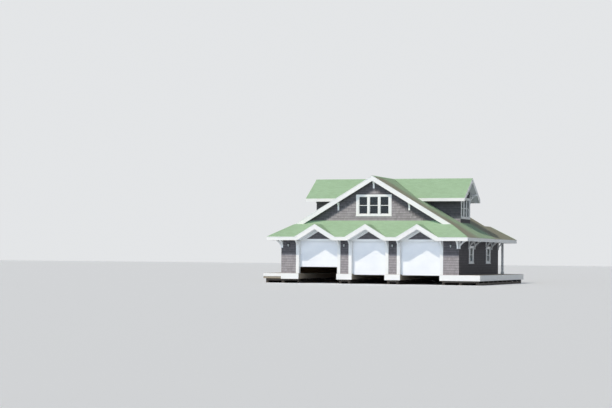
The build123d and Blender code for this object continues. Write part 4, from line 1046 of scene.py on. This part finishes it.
# %% [markdown]
# ## Deck boards
# The decks are planked across, with narrow gaps that let the rain through. The shingle tree lays them too:
# its taper is set to nothing, its rows are one board wide, and the cutter is the top of the CAD deck itself,
# so the boards follow every corner of it.

# %% Deck boards
DECK_BOARD = {
    "Width": 3.6, "Exposure": 0.146, "Butt": 0.008, "Taper": 0.0, "Gap": 0.004, "Row Gap": 0.006,
    "Wander": 0.3,
}
LEVEL, SAME_HEIGHT = 0.99, 0.001


def deck_cutter(name, low):
    """Cutter over a deck's own flat top, measured from its corner low."""
    work = bmesh.new()
    work.from_mesh(frame["nodes"][name].data)
    bmesh.ops.remove_doubles(work, verts=work.verts, dist=SAME_CORNER)
    work.normal_update()
    other = [
        face for face in work.faces
        if face.normal.z < LEVEL or abs(face.calc_center_median().z - DECK_TOP) > SAME_HEIGHT
    ]
    bmesh.ops.delete(work, geom=other, context="FACES")
    grown = bmesh.ops.extrude_face_region(work, geom=work.faces[:], use_keep_orig=True)
    raised = [item for item in grown["geom"] if isinstance(item, bmesh.types.BMVert)]
    bmesh.ops.translate(work, verts=raised, vec=(0, 0, 3 * DECK_BOARD["Butt"]))
    bmesh.ops.translate(work, verts=work.verts, vec=(-low[0], -low[1], -DECK_TOP - DECK_BOARD["Butt"]))
    bmesh.ops.recalc_face_normals(work, faces=work.faces)
    return shaped("cutter", work)


deck_face = Face((0, 0, DECK_TOP), (1, 0, 0), (0, 1, 0))
planking = []
for i, name in enumerate(("deck_left", "deck_right", "deck_rear", "finger_piers")):
    low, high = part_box(name)
    planking.append(lay_courses(deck_face, low, high, deck_cutter(name, low), DECK_BOARD, deck_wood, 120 + i))
join("deck_planking", planking)

# %% [markdown]
# ## White boards
# Planed and painted boards finish the gablets, the low walkway and the windows. Each one is an outline on a
# face, given a thickness, with its edges eased by a small chamfer, so that they catch the light as painted
# edges do. On each gablet two rake boards follow the slopes on the wall, and a boxed soffit of matchboard
# reaches forward from them to the barge boards, closed at its ends by a board.

# %% Gablet boards
EASED = 0.003
RAKE_BOARD = 0.028
RAKE_FOOT, RAKE_INNER = 1.196, 0.90
SOFFIT_DROP, SOFFIT_HALF, SOFFIT_PLAY = 0.115, 1.31, 0.002
END_BOARD_HALF, END_BOARD_OUT = 0.008, 0.009
END_BOARD_STOP, END_BOARD_DIP = 0.03, 0.012
SOFFIT_FRONT_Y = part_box("gablet_roofs")[0].y + SOFFIT_PLAY
SOFFIT_DEPTH = FRONT_Y - RAKE_BOARD - SOFFIT_PLAY - SOFFIT_FRONT_Y


def board(face, outline, back, front, material=white_paint):
    """Board with this outline on a face, from one height out of it to another, with eased edges."""
    flat = [face.drop(point) for point in outline]
    work = bmesh.new()
    rings = [[work.verts.new((u, v, height)) for u, v in flat] for height in (back, front)]
    for ring in rings:
        work.faces.new(ring)
    for i in range(len(flat)):
        j = (i + 1) % len(flat)
        work.faces.new((rings[0][i], rings[0][j], rings[1][j], rings[1][i]))
    bmesh.ops.recalc_face_normals(work, faces=work.faces)
    bmesh.ops.bevel(work, geom=work.edges[:], offset=EASED, segments=1, affect="EDGES")
    made = shaped("board", work, material)
    made.data.transform(face.matrix())
    return made


slab_peak = GABLET_Z - ROOF_DEPTH
box_peak = slab_peak - SOFFIT_DROP
box_foot = box_peak - SLOPE * SOFFIT_HALF
rake_foot_z = box_peak - SLOPE * RAKE_FOOT
rake_profile = [
    (-RAKE_FOOT, rake_foot_z), (0, box_peak), (RAKE_FOOT, rake_foot_z),
    (RAKE_INNER, rake_foot_z), (0, box_peak - SLOPE * (RAKE_FOOT - RAKE_INNER)), (-RAKE_INNER, rake_foot_z),
]
soffit_profile = [
    (x, peak - SLOPE * abs(x)) for peak, reach in ((box_peak, -SOFFIT_HALF), (slab_peak, SOFFIT_HALF))
    for x in (-reach, 0, reach)
]
wall_y = FRONT_Y - END_BOARD_STOP
end_outline = [(0, SOFFIT_FRONT_Y, box_foot - END_BOARD_DIP), (0, wall_y, box_foot)]
end_outline += [(0, y, EAVE_Z + SLOPE * (y + EAVE_Y) - ROOF_DEPTH) for y in (wall_y, SOFFIT_FRONT_Y)]
soffit_face = Face((0, SOFFIT_FRONT_Y, 0), (-1, 0, 0))
rake_boards, soffit_boxes = [], []
for centre in DOOR_CENTRES:
    outline = [(centre + x, FRONT_Y, z) for x, z in rake_profile]
    rake_boards.append(board(front_face, outline, 0.0, RAKE_BOARD))
    outline = [(centre + x, SOFFIT_FRONT_Y, z) for x, z in soffit_profile]
    soffit_boxes.append(board(soffit_face, outline, 0.0, SOFFIT_DEPTH, slab_side))
    for side in (1, -1):
        end_face = Face((centre + side * (SOFFIT_HALF + END_BOARD_OUT), 0, 0), (0, 1, 0))
        rake_boards.append(board(end_face, end_outline, -END_BOARD_HALF, END_BOARD_HALF))
join("gablet_rake_boards", rake_boards)
join("gablet_soffits", soffit_boxes)

# %% [markdown]
# The low walkway on the left is set back from the front. One painted board closes its front edge.

# %% Walkway edge
WALKWAY_FRONT_Y = -6.64
EDGE_DEPTH, EDGE_PLAY, EDGE_THICK = 0.235, 0.002, 0.028


def flat_board(face, left, right, low, high, back, front, material=white_paint):
    """Board on a face, given by its sides across and up from the face's origin."""
    corners = ((left, low), (right, low), (right, high), (left, high))
    return board(face, [face.lift(u, v) for u, v in corners], back, front, material)


walkway_edge = flat_board(
    Face((0, WALKWAY_FRONT_Y, 0), (1, 0, 0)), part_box("deck_left")[0].x + EDGE_PLAY, -WALL_X - EDGE_PLAY,
    DECK_TOP - EDGE_DEPTH, DECK_TOP - EDGE_PLAY, 0.0, EDGE_THICK,
)
join("walkway_edge_board", [walkway_edge])

# %% [markdown]
# ## Windows
# The CAD frames hold the windows' places and sizes. These boards take their place, made up as a joiner
# would: a casing butted round the hole, a proud sill, deep posts between the sashes, and slim double-hung
# sashes, the lower half a step behind the upper one. Each half of a ground window has a glazing bar too.

# %% One window from boards
CASING = 0.03
SILL_HEIGHT, SILL_PROUD = 0.05, 0.055
SASH_STILE, SASH_RAIL = 0.028, 0.045
UPPER_SASH, LOWER_SASH = (-0.030, -0.004), (-0.056, -0.030)
POST_PROUD = 0.8 * CASING
BAR_HALF = 0.014


def window_boards(face, half, top, columns, pitch, open_half, open_top, hole_half, bars):
    """All boards of one window. The face's origin is the window's centre."""
    edge = pitch * (columns - 1) / 2 + open_half
    parts = [
        (-half, half, open_top, top, 0, CASING),
        (-half, half, SILL_HEIGHT - top, -open_top, 0, CASING),
        (-half - CASING, half + CASING, -top, SILL_HEIGHT - top, 0, SILL_PROUD),
    ]
    for side in (1, -1):
        parts.append((*sorted((side * edge, side * half)), -open_top, open_top, 0, CASING))
        parts.append((*sorted((side * edge, side * hole_half)), -open_top, open_top, LOWER_SASH[0], 0))
    for i in range(columns - 1):
        post, reach = pitch * (i + 1 - columns / 2), pitch / 2 - open_half
        parts.append((post - reach, post + reach, -open_top, open_top, LOWER_SASH[0], POST_PROUD))
    for i in range(columns):
        middle, inner = pitch * (i - (columns - 1) / 2), open_half - SASH_STILE
        sashes = (-SASH_RAIL / 2, open_top, UPPER_SASH), (-open_top, SASH_RAIL / 2, LOWER_SASH)
        for low, high, depths in sashes:
            for side in (1, -1):
                stile = sorted((middle + side * inner, middle + side * open_half))
                parts.append((*stile, low, high, *depths))
            rail = SASH_STILE if high == open_top else SASH_RAIL
            parts.append((middle - inner, middle + inner, low, low + SASH_RAIL, *depths))
            parts.append((middle - inner, middle + inner, high - rail, high, *depths))
            if bars:
                parts.append((middle - BAR_HALF, middle + BAR_HALF, low + SASH_RAIL, high - rail, *depths))
    return [flat_board(face, *part) for part in parts]


print("sash stiles are", SASH_STILE, "m wide, and rails", SASH_RAIL, "m")

# %% [markdown]
# The upper windows have three sashes side by side, in the gables and in the ends of the dormers. The ground
# windows have one wide sash. Both kinds are put where the CAD has a casing.

# %% All the windows
UPPER_WINDOW = dict(
    half=1.355, top=0.795, columns=3, pitch=0.81, open_half=0.32, open_top=0.64, hole_half=1.205, bars=False
)
GROUND_WINDOW = dict(
    half=0.70, top=0.65, columns=1, pitch=0.0, open_half=0.48, open_top=0.495, hole_half=0.55, bars=True
)


def joinery(name, node_names, faces, measures):
    """Boards for every window of these nodes, which they replace."""
    parts = []
    for node_name in node_names:
        for face in faces:
            for loop in casings(node_name, face):
                centre = sum(loop, Vector()) / len(loop)
                parts += window_boards(Face(centre, face.across), **measures)
    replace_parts(join(name, parts), *node_names)


joinery("upper_window_joinery", ("gable_windows", "dormer_windows"), gable_faces + dormer_ends, UPPER_WINDOW)
joinery("ground_window_joinery", ("ground_windows",), [right_face, left_face, rear_face], GROUND_WINDOW)

# %% [markdown]
# ## Small fittings
# Each lamp is a tapered cage of four bars with a hipped cap, on a plate and a short arm, round a frosted
# pane that tapers with it. A skin through a few rings of corners makes every part of it, and a list of
# widths and heights is all that each part needs. They take the place of the plain CAD lamps.

# %% Lamps by the doors
CORNERS = ((-1, -1), (1, -1), (1, 1), (-1, 1))
LAMP_X = (-6.131, -1.824, 1.824, 6.131)
LAMP_FOOT_HALF, LAMP_HEAD_HALF, LAMP_BODY = 0.045, 0.065, 0.21
# Widths as shares of the foot or head, with heights from it
FOOT_PROFILE = ((0.55, 0.0), (0.98, 0.005), (0.98, 0.014), (0.90, 0.018))
CAP_PROFILE = (
    (0.93, -0.012), (1.0, -0.008), (1.0, 0.0), (0.45, 0.045), (0.16, 0.05), (0.22, 0.057), (0.08, 0.064)
)
BAR_INSET, BAR_THICK_HALF, BAR_FOOT, BAR_HEAD = 0.007, 0.006, 0.010, -0.006
PANE_INSET, PANE_FOOT, PANE_HEAD = 0.014, 0.017, -0.010
# Half widths, with distances out from the wall, and heights above the plate's middle for the arm
PLATE_TALLER = 0.035
PLATE_PROFILE = ((0.040, 0.005), (0.040, 0.024), (0.034, 0.028))
ARM_HALF, ARM_PROFILE = 0.010, ((0.026, 0.02), (0.048, 0.05), (0.062, 0.094))


def ring(x, y, half, height):
    """Corners of a level square, counterclockwise from above."""
    return [Vector((x + i * half, y + j * half, height)) for i, j in CORNERS]


def upright_ring(x, y, z, half, tall):
    """Corners of an upright rectangle that looks away from the wall."""
    return [Vector((x + i * half, y, z + j * tall)) for i, j in CORNERS]


def skin(work, rings):
    """Closed skin through rings of corners, capped at both ends."""
    loops = [[work.verts.new(point) for point in ring] for ring in rings]
    for lower, upper in zip(loops, loops[1:]):
        for i in range(len(lower)):
            j = (i + 1) % len(lower)
            work.faces.new((lower[i], lower[j], upper[j], upper[i]))
    work.faces.new(loops[0])
    work.faces.new(loops[-1])


def finished(name, work, material):
    """Object from skins, with every face turned outwards."""
    bmesh.ops.recalc_face_normals(work, faces=work.faces)
    return shaped(name, work, material)


lamp_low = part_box("wall_lanterns")[0]
lamp_y = lamp_low.y + LAMP_HEAD_HALF
foot_z, head_z, plate_z = lamp_low.z, lamp_low.z + LAMP_BODY, lamp_low.z + LAMP_BODY / 2
cages, panes = bmesh.new(), bmesh.new()
for x in LAMP_X:
    skin(cages, [ring(x, lamp_y, LAMP_FOOT_HALF * share, foot_z + rise) for share, rise in FOOT_PROFILE])
    skin(cages, [ring(x, lamp_y, LAMP_HEAD_HALF * share, head_z + rise) for share, rise in CAP_PROFILE])
    for i, j in CORNERS:
        skin(cages, [
            ring(x + i * (half - BAR_INSET), lamp_y + j * (half - BAR_INSET), BAR_THICK_HALF, height)
            for half, height in ((LAMP_FOOT_HALF, foot_z + BAR_FOOT), (LAMP_HEAD_HALF, head_z + BAR_HEAD))
        ])
    skin(cages, [
        upright_ring(x, FRONT_Y - out, plate_z, half, half + PLATE_TALLER) for half, out in PLATE_PROFILE
    ])
    skin(cages, [upright_ring(x, FRONT_Y - out, plate_z + up, ARM_HALF, ARM_HALF) for out, up in ARM_PROFILE])
    skin(panes, [
        ring(x, lamp_y, half - PANE_INSET, height)
        for half, height in ((LAMP_FOOT_HALF, foot_z + PANE_FOOT), (LAMP_HEAD_HALF, head_z + PANE_HEAD))
    ])
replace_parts(join("lamp_cages", [finished("cage", cages, lamp_metal)]), "wall_lanterns")
join("lamp_panes", [finished("pane", panes, frosted_glass)])

# %% [markdown]
# The rear door gets a knob on its lock stile and three hinge knuckles on the other side, of the same coated
# steel as the lamps. Both are skins through round rings, the knob's turned towards the porch and the
# knuckles' level.

# %% Knob and hinges of the rear door
RING_SIDES = 16
KNOB_PROFILE = (
    (0.026, -0.002), (0.026, 0.004), (0.022, 0.006), (0.010, 0.008), (0.010, 0.030), (0.022, 0.036),
    (0.027, 0.046), (0.022, 0.056), (0.010, 0.060),
)
KNOB_PLACE = Vector((0.38, REAR_Y, DECK_TOP + 0.95))
HINGE_X, HINGE_HEIGHTS = -0.432, (0.25, 1.02, 1.80)
KNUCKLE_RADIUS, KNUCKLE_HALF = 0.008, 0.05
KNUCKLE_PROFILE = ((-1, 0.6), (-0.94, 1.0), (0.94, 1.0), (1, 0.6))


def round_ring(centre, radius, first, second):
    """Corners of a circle in the plane of two directions."""
    angles = [math.tau * i / RING_SIDES for i in range(RING_SIDES)]
    return [centre + radius * (math.cos(a) * first + math.sin(a) * second) for a in angles]


x_way, y_way, z_way = Vector((1, 0, 0)), Vector((0, 1, 0)), Vector((0, 0, 1))
door_metal = bmesh.new()
skin(door_metal, [round_ring(KNOB_PLACE + y_way * out, radius, x_way, z_way) for radius, out in KNOB_PROFILE])
for height in HINGE_HEIGHTS:
    middle = Vector((HINGE_X, REAR_Y + KNUCKLE_RADIUS, DECK_TOP + height))
    skin(door_metal, [
        round_ring(middle + z_way * (reach * KNUCKLE_HALF), share * KNUCKLE_RADIUS, x_way, y_way)
        for reach, share in KNUCKLE_PROFILE
    ])
join("rear_door_fittings", [finished("fittings", door_metal, lamp_metal)])

# %% [markdown]
# A strip of rubber along the foot of each boat door closes the gap over the slip. It is a plain board of
# rubber that stops a little short of the door's sides.

# %% Rubber seals
SEAL_HEIGHT, SEAL_INSET = 0.03, 0.06
SEAL_BACK, SEAL_FRONT = -0.01, 0.008
seals = []
for name in ("boat_door_left", "boat_door_middle", "boat_door_right"):
    low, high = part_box(name)
    seal_face = Face((0, low.y, 0), (1, 0, 0))
    sides = low.x + SEAL_INSET, high.x - SEAL_INSET, low.z, low.z + SEAL_HEIGHT
    seals.append(flat_board(seal_face, *sides, SEAL_BACK, SEAL_FRONT, rubber))
join("door_seals", seals)

# %% [markdown]
# ## The floor
# A plain pale floor lies at the waterline. It belongs to the stage and isn't part of the boathouse. It is
# seen pale, and throws back a little less light than it shows, so that the shade under the eaves keeps its
# depth.

# %% Stage floor
FLOOR_REACH, FLOOR_DROP, FLOOR_ROUGHNESS = 400.0, -0.002, 0.9
FLOOR_SEEN, FLOOR_BOUNCE = "#EDF3FA", "#DBE5EF"

# Dull and quite even, without a pattern
floor_paint, add = new_finish("plain pale floor")
colour = add(MIX, seen_directly(add), linear(FLOOR_BOUNCE), linear(FLOOR_SEEN), data_type="RGBA")
shader = add("ShaderNodeBsdfPrincipled", Base_Color=colour, Roughness=FLOOR_ROUGHNESS)
add("ShaderNodeOutputMaterial", shader)
floor_mesh = bpy.data.meshes.new("stage_floor")
floor_corners = [(i * FLOOR_REACH, j * FLOOR_REACH, FLOOR_DROP) for i, j in CORNERS]
floor_mesh.from_pydata(floor_corners, [], [(0, 1, 2, 3)])
floor_mesh.materials.append(floor_paint)
stage_floor = placed("stage_floor", floor_mesh)
stage_floor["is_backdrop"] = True
print("floor", 2 * FLOOR_REACH, "m wide")

# %% [markdown]
# ## The size of the dressed building's box is printed.
# The box of the dressed building is written beside the CAD's, so that the two can be compared.

# %% Print the size and finish
low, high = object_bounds()
print("visual box", [round(v, 3) for v in high - low])
